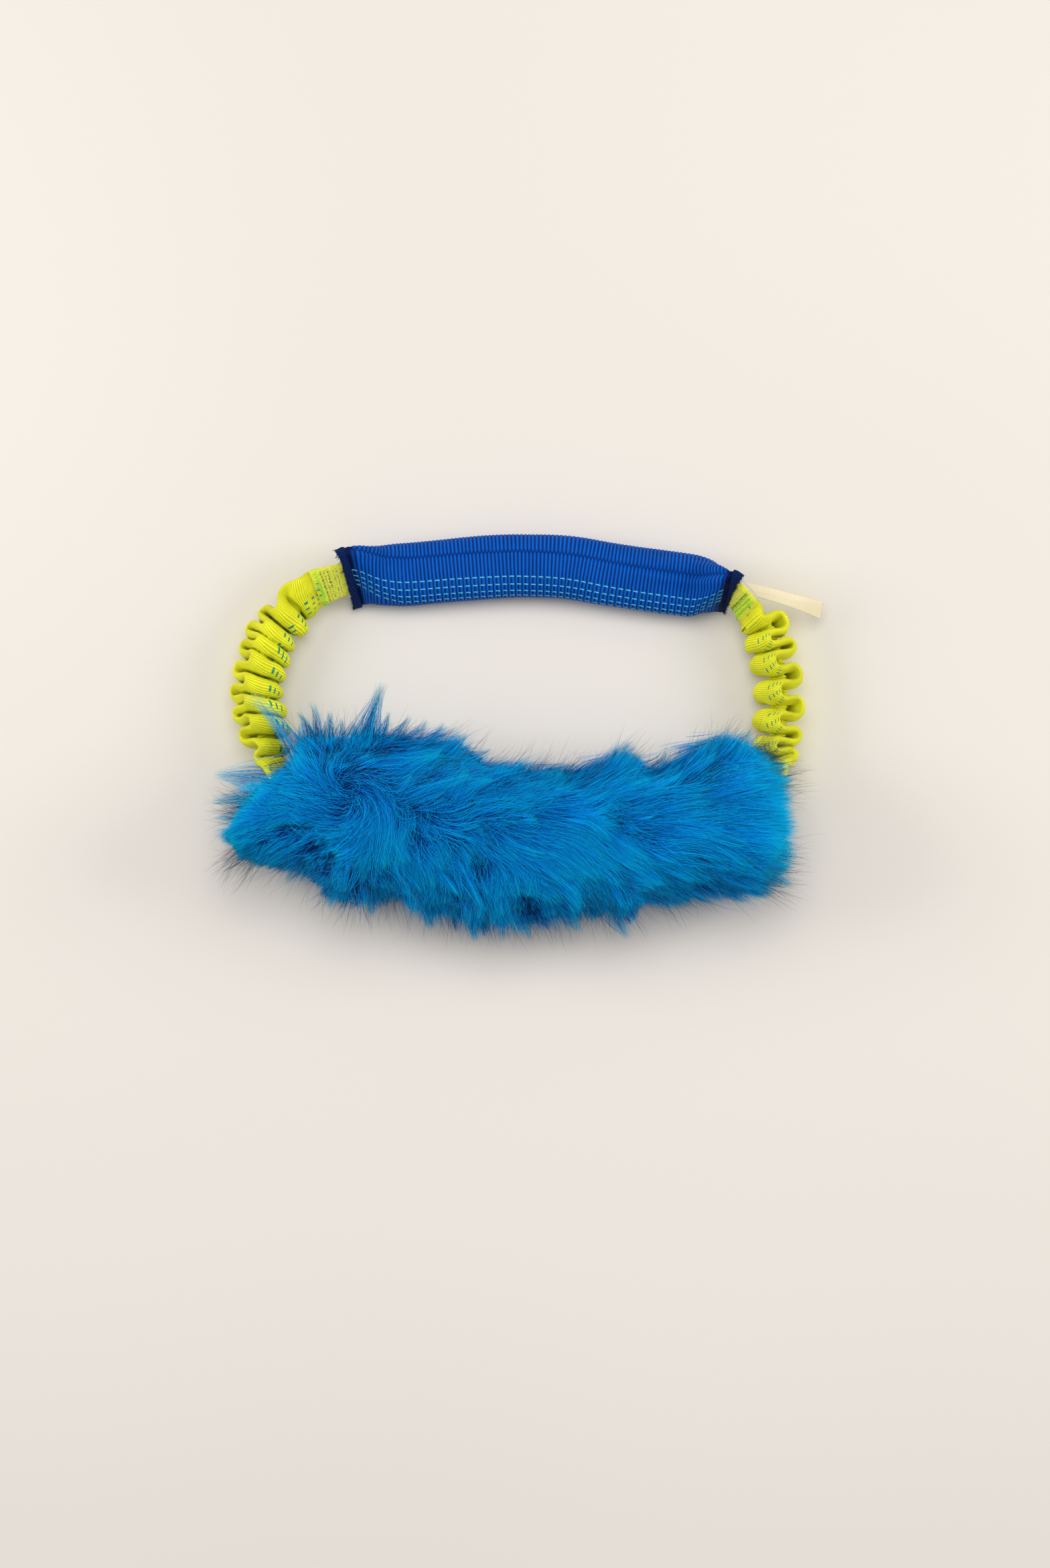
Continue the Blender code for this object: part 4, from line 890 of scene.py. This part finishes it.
# How wide a hair is at its points from root to tip, and how far along it they lie
HAIR_TAPER = np.array([0.75, 1.0, 0.95, 0.75, 0.45, 0.06])
HAIR_SHARES = np.linspace(0, 1, len(HAIR_TAPER))
HAIR_STEP, HAIR_STEPS = 0.0026, 19
# How the pile is combed: places in the photograph, and which way its hair lies there, down being positive
COMB = np.array([
    (353, 1162, -1.0, 0.0), (373, 1203, -1.0, 0.3), (359, 1244, -0.9, 0.4), (388, 1268, -0.85, 0.5),
    (447, 1256, -0.9, 0.35), (432, 1183, -1.0, -0.25), (470, 1170, -0.9, -0.35), (505, 1195, -0.9, -0.3),
    (420, 1215, -1.0, 0.1), (480, 1225, -1.0, -0.15), (505, 1256, -0.8, 0.55), (549, 1241, -0.25, 1.0),
    (565, 1195, 0.5, 0.9), (545, 1180, 0.9, 0.4), (476, 1291, -0.75, 0.65), (505, 1329, -0.4, 0.9),
    (549, 1338, -0.05, 1.0), (560, 1290, -0.2, 1.0), (593, 1315, 0.15, 1.0), (637, 1329, 0.2, 1.0),
    (681, 1329, 0.35, 1.0), (711, 1373, 0.2, 1.0), (655, 1285, 0.5, 0.85), (725, 1330, 0.05, 1.0),
    (476, 1109, -0.1, -1.0), (447, 1115, -0.5, -0.85), (505, 1098, 0.1, -1.0), (540, 1100, 0.4, -0.9),
    (500, 1140, 0.1, -0.9), (540, 1145, 0.6, -0.5), (593, 1124, 0.95, -0.3), (652, 1109, 0.9, -0.4),
    (593, 1159, 0.9, -0.35), (652, 1153, 0.9, -0.35), (696, 1124, 0.8, -0.5), (725, 1177, 0.9, -0.4),
    (623, 1197, 0.6, -0.5), (681, 1206, 0.8, -0.55), (660, 1245, 0.6, 0.4), (610, 1240, 0.1, 0.6),
    (753, 1163, 0.9, -0.3), (753, 1213, 0.9, -0.35), (803, 1189, 0.97, -0.15), (819, 1223, 1.0, 0.05),
    (803, 1262, 0.9, 0.3), (786, 1286, 0.85, 0.5), (745, 1265, 0.6, 0.6), (753, 1329, 0.0, 1.0),
    (786, 1362, 0.4, 0.9), (836, 1312, 0.75, 0.65), (886, 1296, 0.8, 0.6), (902, 1339, 0.5, 0.85),
    (926, 1378, 0.35, 0.95), (952, 1312, 0.85, 0.5), (1002, 1329, 0.85, 0.45), (1051, 1305, 0.9, 0.4),
    (1118, 1319, 0.95, 0.3), (886, 1156, 0.9, -0.4), (919, 1130, 0.75, -0.65), (952, 1180, 0.97, -0.2),
    (1018, 1140, 0.8, -0.55), (1062, 1107, 0.65, -0.75), (1101, 1120, 0.75, -0.6), (1018, 1219, 1.0, -0.05),
    (1085, 1180, 0.95, -0.25), (1135, 1180, 1.0, -0.1), (1118, 1229, 1.0, 0.0), (1018, 1266, 1.0, 0.15),
    (1135, 1280, 1.0, 0.15), (840, 1150, 0.85, -0.5), (780, 1148, 0.85, -0.4),
], dtype=float)
# Partings that show the dark foot of the pile: place in the photograph, half sizes and strength
PARTINGS = np.array([
    (438, 1240, 16, 9, 0.9), (462, 1246, 20, 9, 1.0), (486, 1266, 13, 12, 1.0), (503, 1286, 10, 13, 0.9),
    (620, 1244, 12, 9, 0.8), (602, 1209, 16, 8, 0.7), (628, 1180, 18, 6, 0.7), (660, 1200, 12, 8, 0.6),
    (712, 1292, 12, 22, 1.0), (678, 1226, 14, 9, 0.7), (786, 1350, 24, 14, 1.0), (516, 1178, 13, 8, 0.6),
    (724, 1256, 14, 8, 0.7), (560, 1322, 10, 16, 0.5), (640, 1318, 8, 18, 0.5), (832, 1332, 14, 6, 0.4),
], dtype=float)
# Single locks: root and tip in the photograph, heights of both in millimetres, half width, share of the fibres
LOCKS = [
    ((545, 1114), (563, 1024), 42, 52, 6.0, 1.3), ((448, 1128), (384, 1032), 38, 42, 5.0, 0.55),
    ((400, 1172), (318, 1159), 30, 22, 7.0, 1.1), ((385, 1200), (318, 1190), 34, 26, 6.0, 0.7),
    ((385, 1228), (322, 1228), 34, 26, 6.0, 0.7), ((388, 1250), (334, 1262), 32, 24, 6.0, 0.6),
    ((424, 1192), (362, 1176), 60, 46, 6.0, 0.7), ((420, 1212), (352, 1206), 58, 44, 7.0, 0.8),
    ((418, 1232), (346, 1240), 56, 40, 7.0, 0.8), ((440, 1205), (384, 1190), 66, 58, 7.0, 0.7),
    ((452, 1120), (444, 1084), 38, 40, 4.0, 0.45), ((466, 1114), (461, 1066), 38, 42, 4.0, 0.55),
    ((478, 1114), (474, 1052), 38, 44, 4.0, 0.6), ((492, 1114), (491, 1066), 38, 42, 4.0, 0.55),
    ((508, 1114), (513, 1076), 38, 42, 4.0, 0.45), ((524, 1112), (533, 1082), 38, 42, 4.0, 0.4),
    ((566, 1112), (584, 1068), 40, 44, 4.0, 0.5), ((588, 1110), (612, 1072), 40, 44, 4.0, 0.5),
    ((612, 1110), (640, 1080), 40, 44, 4.0, 0.45), ((640, 1110), (668, 1086), 40, 44, 4.0, 0.45),
    ((668, 1122), (700, 1102), 38, 42, 4.5, 0.4), ((700, 1134), (734, 1120), 38, 40, 5.0, 0.4),
    ((896, 1148), (925, 1122), 38, 40, 6.0, 0.7), ((1024, 1132), (1066, 1098), 38, 42, 6.0, 0.8),
    ((1052, 1122), (1090, 1094), 38, 42, 5.0, 0.5), ((1085, 1120), (1124, 1098), 38, 42, 5.0, 0.5),
    ((820, 1158), (850, 1140), 38, 38, 5.0, 0.4), ((968, 1152), (1000, 1126), 38, 40, 5.0, 0.5),
    ((1112, 1150), (1176, 1138), 46, 42, 7.0, 0.9), ((1110, 1168), (1180, 1164), 46, 40, 8.0, 1.1),
    ((1138, 1190), (1182, 1186), 36, 32, 7.0, 0.5),
    ((1138, 1230), (1178, 1236), 36, 30, 7.0, 0.5), ((1138, 1262), (1180, 1276), 34, 30, 6.0, 0.5),
    ((1128, 1298), (1184, 1318), 34, 28, 8.0, 0.9), ((1060, 1322), (1088, 1342), 30, 26, 5.0, 0.4),
    ((990, 1332), (1012, 1354), 30, 26, 5.0, 0.4), ((914, 1350), (931, 1404), 30, 24, 6.0, 0.9),
    ((850, 1368), (864, 1394), 30, 24, 5.0, 0.4), ((780, 1372), (794, 1404), 30, 24, 5.0, 0.45),
    ((704, 1370), (712, 1406), 30, 24, 5.0, 0.6), ((640, 1356), (646, 1390), 28, 22, 5.0, 0.45),
    ((560, 1338), (555, 1370), 28, 22, 5.0, 0.45), ((505, 1328), (490, 1358), 28, 20, 5.0, 0.45),
    ((455, 1296), (426, 1318), 28, 20, 5.0, 0.45),
]


def fur_axis(x):
    """The pile's axis at places along it, in millimetres."""
    return np.interp(x, [-176, -168, -155, -132.7, -74.3, -22.5, 22.3, 74, 118, 146],
                     [-62.5, -59.5, -55, -50, -58.9, -66, -67, -61.4, -53.7, -53])


def fur_level(p, ends=FUR_ENDS):
    """How far out points lie in the pile: 0 on its axis and 1 on its outline."""
    x, y, z = p[..., 0] * 1000, p[..., 1] * 1000, p[..., 2]
    axis = fur_axis(x)
    inside = np.interp(x, FUR_INSIDE[:, 0], FUR_INSIDE[:, 1]) - axis
    outside = axis - np.interp(x, FUR_OUTSIDE[:, 0], FUR_OUTSIDE[:, 1])
    left, left_in, right_in, right = ends
    past = np.maximum((left_in - x) / (left_in - left), (x - right_in) / (right - right_in))
    end = np.clip(past, 0, None)
    across = np.abs(y - axis) / np.where(y > axis, inside, outside)
    rise = z - FUR_AXIS_HEIGHT
    up = np.abs(rise) / np.where(rise > 0, FUR_TOP, FUR_FOOT)
    body = (across**2.5 + up**2.5) ** 0.4
    return (body**2.5 + end**2.5) ** 0.4


def fur_outward(p):
    return unit(np.stack([fur_level(p + shift) - fur_level(p - shift) for shift in np.eye(3) * 0.0008], axis=-1))


def combed(p):
    """The way the hair lies, seen from above, from the nearest combed places, and how much they agree."""
    x, y = to_photo(p)
    total, whole = np.zeros((*x.shape, 2)), np.zeros(x.shape)
    for cx, cy, dx, dy in COMB:
        weight = np.exp(-((x - cx) ** 2 + (y - cy) ** 2) / (2 * 17.0**2)) + 1e-7
        weight = weight + 1e-3 / (1 + ((x - cx) ** 2 + (y - cy) ** 2) / 400.0) ** 2
        size = math.hypot(dx, dy)
        total[..., 0] += weight * dx / size
        total[..., 1] -= weight * dy / size
        whole += weight
    strong = np.maximum(np.linalg.norm(total, axis=-1, keepdims=True), 1e-9)
    return total / strong, strong[..., 0] / whole


def parted(p):
    """How much a parting thins the pile at points, from 0 to 1."""
    x, y = to_photo(p)
    total = np.zeros(x.shape)
    for cx, cy, rx, ry, strong in PARTINGS:
        total = np.maximum(total, strong * np.exp(-(((x - cx) / rx) ** 2 + ((y - cy) / ry) ** 2)))
    return total * (p[..., 2] > FUR_AXIS_HEIGHT)


def fur_points(level, x, turn):
    """Points of the pile at a level, by place along it and turn round its axis, found by halving."""
    low, high = np.zeros(len(x)), np.full(len(x), 0.15)
    axis = fur_axis(x * 1000) / 1000
    way = np.stack([np.zeros(len(x)), np.cos(turn), np.sin(turn)], axis=-1)
    start = np.stack([x, axis, np.full(len(x), FUR_AXIS_HEIGHT)], axis=-1)
    for _ in range(26):
        middle = (low + high) / 2
        inside = fur_level(start + way * middle[:, None]) < level
        low, high = np.where(inside, middle, low), np.where(inside, high, middle)
    return start + way * low[:, None]


def grow(root, jitter, limit, longest, lift, rng, past=0.0):
    """Follows the comb from each root until the hair reaches its level, the pile's end or its length."""
    path = [root]
    here = root
    cos, sin = np.cos(jitter), np.sin(jitter)
    for k in range(HAIR_STEPS):
        way, agree = combed(here)
        x, y = way[:, 0], way[:, 1]
        flow = np.stack([x * cos - y * sin, x * sin + y * cos, np.zeros(len(here))], axis=1)
        rise = lift[:, None] * (1.15 - 0.9 * k / HAIR_STEPS) + np.clip(0.9 - agree, 0, 1)[:, None] * 0.9
        here = here + unit(flow + fur_outward(here) * rise + UP * -0.05) * HAIR_STEP
        path.append(here)
    path = np.stack(path, axis=1)
    # Hairs of one lock reach equally far past the pile's ends, which gives the ends their points
    lock = np.clip(0.5 + 0.9 * noise_at(root * (0.2, 1, 1), 0.008, 51.0), 0, 1)
    left = REACH_LEFT - past - 0.019 * (0.4 * rng.uniform(0, 1, len(root)) ** 1.2 + 0.6 * lock)
    right = REACH_RIGHT + past + 0.022 * (0.4 * rng.uniform(0, 1, len(root)) ** 1.5 + 0.6 * lock)
    over = (path[..., 0] < left[:, None]) | (path[..., 0] > right[:, None])
    over |= (fur_level(path, HAIR_ENDS) > limit[:, None]) | (parted(path) > 0.55)
    first = np.where(over.any(axis=1), over.argmax(axis=1), HAIR_STEPS).astype(float)
    return path, np.clip(np.minimum(first, longest / HAIR_STEP), 2.0, HAIR_STEPS)


def along_path(path, share):
    """Points of each path at shares, one row of shares for each path."""
    k = np.clip(share, 0, path.shape[1] - 1.001)
    i = np.floor(k).astype(int)
    a = (k - i)[..., None]
    rows = np.arange(len(path))[:, None]
    return path[rows, i] * (1 - a) + path[rows, i + 1] * a


def ribbons(curves, width, out, roll):
    """Flat tapering hairs along curves of equally many points, with soft outward normals."""
    count, stations = curves.shape[:2]
    way = unit(np.gradient(curves, axis=1))
    side = unit(np.cross(way, out[:, None]))
    other = np.cross(side, way)
    side = side * np.cos(roll)[:, None, None] + other * np.sin(roll)[:, None, None]
    half = side * width[:, None, None] / 2 * HAIR_TAPER[None, :, None]
    points = np.stack([curves - half, curves + half], axis=2).reshape(-1, 3)
    start = (np.arange(count) * stations * 2)[:, None] + (np.arange(stations - 1) * 2)[None]
    quads = np.stack([start, start + 1, start + 3, start + 2], axis=-1).reshape(-1, 4)
    shade = unit(np.cross(side, way))
    flip = np.sign((shade * out[:, None]).sum(axis=-1, keepdims=True))
    normals = unit(out[:, None] * 0.75 + shade * flip * 0.45)
    normals = np.repeat(normals[:, :, None], 2, axis=2).reshape(-1, 3)
    return points, quads, normals


def strand_uv(which, start):
    """Root to tip along the first coordinate, and the hair's tone along the second, its own and the painted shade of
    the partings.
    """
    parts = len(HAIR_TAPER) - 1
    low = np.arange(parts) / parts
    high = low + 1 / parts
    u = np.stack([low, low, high, high], axis=-1)[None].repeat(len(which), axis=0)
    u = start[:, None, None] + u * (1 - start[:, None, None])
    v = np.broadcast_to(which[:, None, None], u.shape)
    return np.stack([u * 0.98 + 0.01, v * 0.98 + 0.01], axis=-1).reshape(-1, 2)


def coat_roots(locks, over, ends, rng):
    """Where a layer's locks start: all over the pile's top and sides, fewer below and few in a parting."""
    x = rng.uniform(-0.171, 0.1415, locks)
    turn = rng.uniform(-np.pi, np.pi, locks)
    seen = (np.sin(turn) > -0.35) | ((np.sin(turn) > -0.8) & (rng.uniform(0, 1, locks) < 0.7)) | ends
    x, turn = x[seen], turn[seen]
    level = rng.uniform(0.80, 0.94, len(x)) if over else rng.uniform(0.72, 0.92, len(x))
    if ends:
        # Short locks spread evenly over the pile's round ends
        level = rng.uniform(0.84, 0.92, len(x))
        reach = level * (1 - rng.uniform(0, 0.99, len(x)) ** 1.25) ** 0.4
        left, left_in, right_in, right = np.array(FUR_ENDS) / 1000
        x = np.where(rng.uniform(0, 1, len(x)) < 0.65, right_in + (right - right_in) * reach,
                     left_in + (left - left_in) * reach)
    root = fur_points(level, x, turn)
    return root[rng.uniform(0, 1, len(root)) > parted(root) * 0.9]


def coat(locks, each, over, rng, ends=False):
    """Curves, shades, widths and root shades of one layer of the combed coat, lock by lock.

    The layer over the others is longer and more pointed; the one of the ends covers only the pile's round ends.
    """
    past = 0.003 if ends else 0.0
    root = coat_roots(locks, over, ends, rng)
    count = len(root)
    messy = 0.10 + 0.45 * smooth((0.01 - root[:, 0]) / 0.05)
    jitter = np.clip(noise_at(root, 0.015, 31.0) * messy * 1.5 + rng.normal(0, 0.09, count), -0.9, 0.9)
    limit = 0.98 + 0.18 * rng.uniform(0, 1, count) ** 1.5 if over else rng.uniform(0.90, 0.985, count)
    longest = rng.uniform(0.034, 0.0495, count) if over else rng.uniform(0.026, 0.044, count)
    lift = rng.uniform(0.16, 0.40, count) if over else rng.uniform(0.18, 0.38, count)
    path, tip = grow(root, jitter, limit, longest, lift, rng, past)
    # Each lock's hairs start round its root, follow the comb too and draw together towards its tip
    which = np.repeat(np.arange(count), each)
    spread = rng.uniform(0.7, 1.25, count)[which][:, None]
    spot = root[which] + rng.normal(0, 1, (len(which), 3)) * np.array((0.0044, 0.0038, 0.0026)) * spread
    spot = np.where((fur_level(spot) > 0.96)[:, None], root[which], spot)
    fringe = rng.uniform(0, 1, len(which)) < 0.18
    reach = np.where(fringe, 0.01 + 0.2 * rng.uniform(0, 1, len(which)) ** 1.8, rng.normal(0, 0.014, len(which)))
    hair_path, hair_tip = grow(spot, jitter[which] + rng.normal(0, 0.06, len(which)), limit[which] + reach,
                               longest[which] * rng.uniform(0.75, 1.1, len(which)) * np.where(fringe, 1.2, 1.0),
                               lift[which], rng, past)
    share = HAIR_SHARES[None]
    own = along_path(hair_path, share * hair_tip[:, None])
    lock = along_path(path, share * tip[:, None])[which]
    pull = rng.uniform(0.35 if over else 0.1, 0.8, count)[which] * np.where(fringe | ends, 0.3, 1.0)
    together = pull[:, None, None] * (share**1.3)[..., None]
    curves = own * (1 - together) + lock * together
    curves = lifted(curves + wave(len(which), rng) * share[..., None], 0.0008)
    tone = rng.uniform(0.12 if over else 0, 1, count)[which] * 0.55 + rng.uniform(0, 1, len(which)) * 0.45
    # Hairs in a parting are painted darker, as shade deep in the pile.
    tone = tone * (1 - 0.6 * parted(curves[:, 2]))
    width = rng.uniform(0.00018, 0.00034, len(which)) * np.where(fringe, 0.6, 1.0) * (0.75 if ends else 1.0)
    # Both ends of the pile are lighter, painted as light shining through the thin hair there; the layer over the others
    # and the ends' layer also start further from the darker roots.
    x = curves[:, 0, 0]
    light = 0.32 * smooth((x - 0.100) / 0.040) + 0.25 * smooth((-0.140 - x) / 0.030)
    return curves, tone, width, light + (0.2 if ends else 0.1 if over else 0.0)


def wave(count, rng):
    """A slight bend of each hair's own."""
    turn = rng.uniform(0, 2 * np.pi, (count, 1, 3))
    along = np.linspace(0, 2.6, len(HAIR_TAPER))[None, :, None]
    return np.sin(along + turn) * rng.uniform(0.0001, 0.0006, (count, 1, 1))


def single_locks(rng, scale):
    """The pointed locks that stand out of the outline."""
    curves, tone = [], []
    for root, tip, low, high, half, share in LOCKS:
        count = int(170 * share * scale)
        start = np.array((*from_photo(*root), low / 1000))
        end = np.array((*from_photo(*tip), high / 1000))
        run = end - start
        side = unit(np.cross(run, UP))
        up = np.cross(side, unit(run))
        across, over = rng.normal(0, half / 1250, count), rng.normal(0, half / 2200, count)
        reach = (1 - rng.uniform(0, 1, count) ** 2.2 * 0.55)[:, None, None]
        back = rng.uniform(-0.55, -0.05, count)[:, None, None]
        where = back + (reach - back) * HAIR_SHARES[None, :, None]
        narrow = np.clip(1 - where, 0.05, 1.5) ** 0.9
        bend = rng.normal(rng.normal(0, 0.09), 0.06, count)[:, None, None] * np.linalg.norm(run)
        bend = bend * np.clip(where, 0, None) ** 2
        line = start + run * where
        line = line + side * (across[:, None, None] * narrow + bend) + up * over[:, None, None] * narrow
        line = line + side * (half / 5000 * np.sin(where * 3.0))
        curves.append(line)
        tone.append(rng.uniform(0.45, 1.0, count))
    curves = np.concatenate(curves)
    width = rng.uniform(0.00016, 0.00030, len(curves))
    # The standing locks are painted lighter, as light shining through them, by starting their hairs far along the
    # colour ramp past the darker roots.
    return curves, np.concatenate(tone), width, rng.uniform(0.45, 0.75, len(curves))


def wisps(count, rng):
    """Thin dark guard hairs that stand past the outline all round."""
    x = rng.uniform(-0.172, 0.142, count)
    sideways = rng.uniform(-0.35, 1.0, count)
    turn = np.where(rng.uniform(0, 1, count) < 0.55, sideways, np.pi - sideways)
    ends = rng.uniform(0, 1, count)
    right, left = rng.uniform(0.130, 0.143, count), rng.uniform(-0.172, -0.158, count)
    x = np.where(ends < 0.2, right, np.where(ends < 0.32, left, x))
    root = fur_points(np.full(count, 0.9), x, turn)
    longest = rng.uniform(0.009, 0.027, count) * np.where(ends < 0.32, 1.15, 1.0)
    jitter, no_limit = rng.normal(0, 0.3, count), np.full(count, 9.0)
    path, tip = grow(root, jitter, no_limit, longest, rng.uniform(0.15, 0.75, count), rng, 0.03)
    curves = along_path(path, HAIR_SHARES[None] * tip[:, None])
    curves = lifted(curves + (rng.normal(0, 1, (count, 1, 3)) * 0.0024) * (HAIR_SHARES**2)[None, :, None], 0.0015)
    return curves[inside_box(curves)]


def inside_box(curves):
    """Which hairs keep within the box a little past the solids."""
    return ((curves >= HAIR_BOX[0]) & (curves <= HAIR_BOX[1])).all(axis=(1, 2))


def fur_object(name, curves, tone, width, start, look, rng):
    """One piece of the coat or of its guard hairs."""
    out = fur_outward(curves[:, 2])
    points, quads, normals = ribbons(curves, width, out, rng.uniform(-1.15, 1.15, len(curves)))
    made = mesh_object(name, points, quads, strand_uv(tone, start), look, normals=normals)
    dress(made, "bite", "fur_pile", slot="fur")


def make_under(looks):
    """The dense foot of the pile, seen only where the hair parts; its dark blue is partly painted shade deep in the
    pile.
    """
    columns = 110
    left, left_in, right_in, right = np.array(FUR_ENDS) / 1000
    round_off = 0.8799 * np.sin(np.linspace(0.06, 1, 14) * np.pi / 2)
    x = np.concatenate([left_in - (left_in - left) * round_off[::-1], np.linspace(left_in, right_in, 130),
                        right_in + (right - right_in) * round_off])
    rows = len(x)
    turn = np.linspace(-np.pi, np.pi, columns, endpoint=False)
    all_x, all_turn = np.repeat(x, columns), np.tile(turn, rows)
    grid = fur_points(np.full(len(all_x), 0.88), all_x, all_turn).reshape(rows, columns, 3)
    normal = fur_outward(grid)
    grid = grid + normal * (noise_at(grid * (0.4, 1, 1), 0.006, 4.0) * 0.0014 - 0.005 * parted(grid))[..., None]
    points, quads, uv = plain_skin(lifted(grid, 0.0004))
    made = mesh_object("under_pile", points, quads[:, ::-1], uv, looks["under"])
    dress(made, "bite", "fur_pile", slot="fur")


def make_fur(looks):
    rng = np.random.default_rng(21)
    scale = 1.0
    every = [coat(int(3600 * scale), 31, False, rng), coat(int(1000 * scale), 44, True, rng), single_locks(rng, scale),
             coat(int(360 * scale), 24, False, np.random.default_rng(5), ends=True)]
    curves, tone, width, start = (np.concatenate(each) for each in zip(*every))
    width = width / math.sqrt(scale)
    order = rng.permutation(np.flatnonzero(inside_box(curves)))
    for k, some in enumerate(np.array_split(order, max(math.ceil(len(order) / 19000), 1))):
        fur_object(f"fur_coat_{k + 1}", curves[some], tone[some], width[some], start[some], looks["fur"], rng)
    thin = wisps(int(2600 * (0.5 + scale / 2)), rng)
    tone, width = rng.uniform(0, 1, len(thin)), rng.uniform(0.00012, 0.00020, len(thin))
    fur_object("fur_wisps", thin, tone, width, np.zeros(len(thin)), looks["wisp"], rng)


# ---------------------------------------------------------------- setting


def make_stage():
    """The pale table that the toy lies on."""
    mesh = bpy.data.meshes.new("floor")
    size = 6.0
    mesh.from_pydata([(-size, -size, 0), (size, -size, 0), (size, size, 0), (-size, size, 0)], [], [(0, 1, 2, 3)])
    floor = bpy.data.objects.new("floor", mesh)
    bpy.context.scene.collection.objects.link(floor)
    look = Look("pale_floor", 0.9, Specular_IOR_Level=0.1)
    look.colour(look.ramp(look.speckle(1.3, 1.0), (0.3, (231, 226, 219)), (0.7, (237, 231, 225))))
    mesh.materials.append(look.material)


def make_lamp(name, place, size, watts, colour):
    """A round lamp that shines on the middle of the toy."""
    data = bpy.data.lights.new(name, "AREA")
    data.shape = "DISK"
    data.size = size
    data.energy = watts
    data.color = colour
    made = bpy.data.objects.new(name, data)
    made.location = place
    made.rotation_euler = (Vector() - Vector(place)).to_track_quat("-Z", "Y").to_euler()
    bpy.context.scene.collection.objects.link(made)


def make_camera():
    data = bpy.data.cameras.new("camera")
    data.lens = 85
    data.sensor_width = 36
    data.clip_end = 20
    made = bpy.data.objects.new("camera", data)
    target, distance, rise = Vector((-0.0031, -0.0311, 0.02)), 2.212, math.radians(86)
    made.location = target + Vector((0, -math.cos(rise), math.sin(rise))) * distance
    made.rotation_euler = (math.pi / 2 - rise, 0, 0)
    bpy.context.scene.collection.objects.link(made)
    bpy.context.scene.camera = made


def make_light():
    world = bpy.data.worlds.new("world")
    bpy.context.scene.world = world
    world.use_nodes = True
    shade = world.node_tree.nodes["Background"]
    shade.inputs[0].default_value = (0.98, 0.97, 0.96, 1)
    shade.inputs[1].default_value = 0.42
    make_lamp("top_lamp", (0.0, 0.55, 1.9), 1.5, 15, (1.0, 0.985, 0.96))
    make_lamp("left_lamp", (-1.5, 0.3, 0.9), 0.9, 11, (1.0, 0.98, 0.95))
    make_lamp("right_lamp", (1.5, 0.25, 0.9), 0.9, 11, (1.0, 0.98, 0.95))
    bpy.context.scene.view_settings.view_transform = "Standard"


# Rows of stitches across a flat end: share along it, thread (1 beige, 2 neon, 3 olive), swing, pitch and radius
LEFT_TACK_ROWS = [
    (0.06, 1, 0.0008, 0.00085, 0.00024), (0.12, 1, 0.0009, 0.0011, 0.00026), (0.18, 1, 0.0010, 0.0008, 0.00026),
    (0.23, 3, 0.0007, 0.0016, 0.00016), (0.28, 1, 0.0009, 0.0010, 0.00028), (0.34, 2, 0.0010, 0.0060, 0.00022),
    (0.38, 1, 0.0009, 0.0009, 0.00026), (0.44, 1, 0.0010, 0.0012, 0.00026), (0.50, 3, 0.0007, 0.0016, 0.00018),
    (0.54, 1, 0.0010, 0.0009, 0.00028), (0.59, 2, 0.0009, 0.0052, 0.00022), (0.64, 1, 0.0009, 0.0010, 0.00026),
    (0.70, 3, 0.0005, 0.0020, 0.00018), (0.76, 1, 0.0010, 0.0010, 0.00026), (0.84, 2, 0.0013, 0.0019, 0.00030),
]
RIGHT_TACK_ROWS = [
    (0.08, 1, 0.0008, 0.0009, 0.00026), (0.16, 1, 0.0010, 0.0010, 0.00026), (0.24, 1, 0.0009, 0.0009, 0.00026),
    (0.32, 1, 0.0009, 0.0011, 0.00026), (0.38, 3, 0.0006, 0.0018, 0.00016), (0.44, 2, 0.0004, 0.0020, 0.00032),
    (0.52, 1, 0.0008, 0.0012, 0.00026), (0.59, 2, 0.0004, 0.0020, 0.00034), (0.67, 1, 0.0007, 0.0013, 0.00024),
    (0.75, 2, 0.0005, 0.0018, 0.00036),
]
LOWER_TACK_ROWS = [
    (0.08, 2, 0.0010, 0.0012, 0.00032), (0.16, 2, 0.0009, 0.0010, 0.00032), (0.26, 1, 0.0009, 0.0010, 0.00028),
    (0.40, 1, 0.0010, 0.0011, 0.00028), (0.54, 2, 0.0009, 0.0012, 0.00030),
]


def main():
    make_camera()
    make_stage()
    make_light()
    looks = make_looks()
    make_handle(looks)
    make_hem("left", LEFT_END_TILT, 0.0, 1, LEFT_END_WIDE, looks, reach=0.0046, flare=0.0014, mouth=1.0)
    make_hem("right", RIGHT_END_TILT, HANDLE_END, -1, RIGHT_END_WIDE, looks, reach=0.0032, flare=0.0004, mouth=0.72)
    make_tack("left_upper", "handle", RING_LENGTH, LEFT_GATHER[0], LEFT_TACK_ROWS, 1, looks)
    make_tack("right_upper", "handle", HANDLE_END, RIGHT_GATHER[0], RIGHT_TACK_ROWS, 2, looks)
    make_tack("left_lower", "bite", BITE_LEFT, LEFT_GATHER[1], LOWER_TACK_ROWS, 3, looks)
    make_tack("right_lower", "bite", BITE_RIGHT, RIGHT_GATHER[1], LOWER_TACK_ROWS, 4, looks)
    make_leg("left", LEFT_GATHER, LEFT_LOBES, (0.262, 0.30, 0.345), -0.4, 0.0, looks)
    make_leg("right", RIGHT_GATHER, RIGHT_LOBES, (0.02, 0.07, 0.12, 0.18), 0.72, 0.5, looks)
    make_label(looks)
    make_under(looks)
    make_fur(looks)
    for node, look in (("handle_core", "foam"), ("bite_core", "foam"), ("fur_backing", "knit"), ("bite_strap", "lime"),
                       ("handle_strap", "lime")):
        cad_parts[node].material_slots[0].material = looks[look]


main()
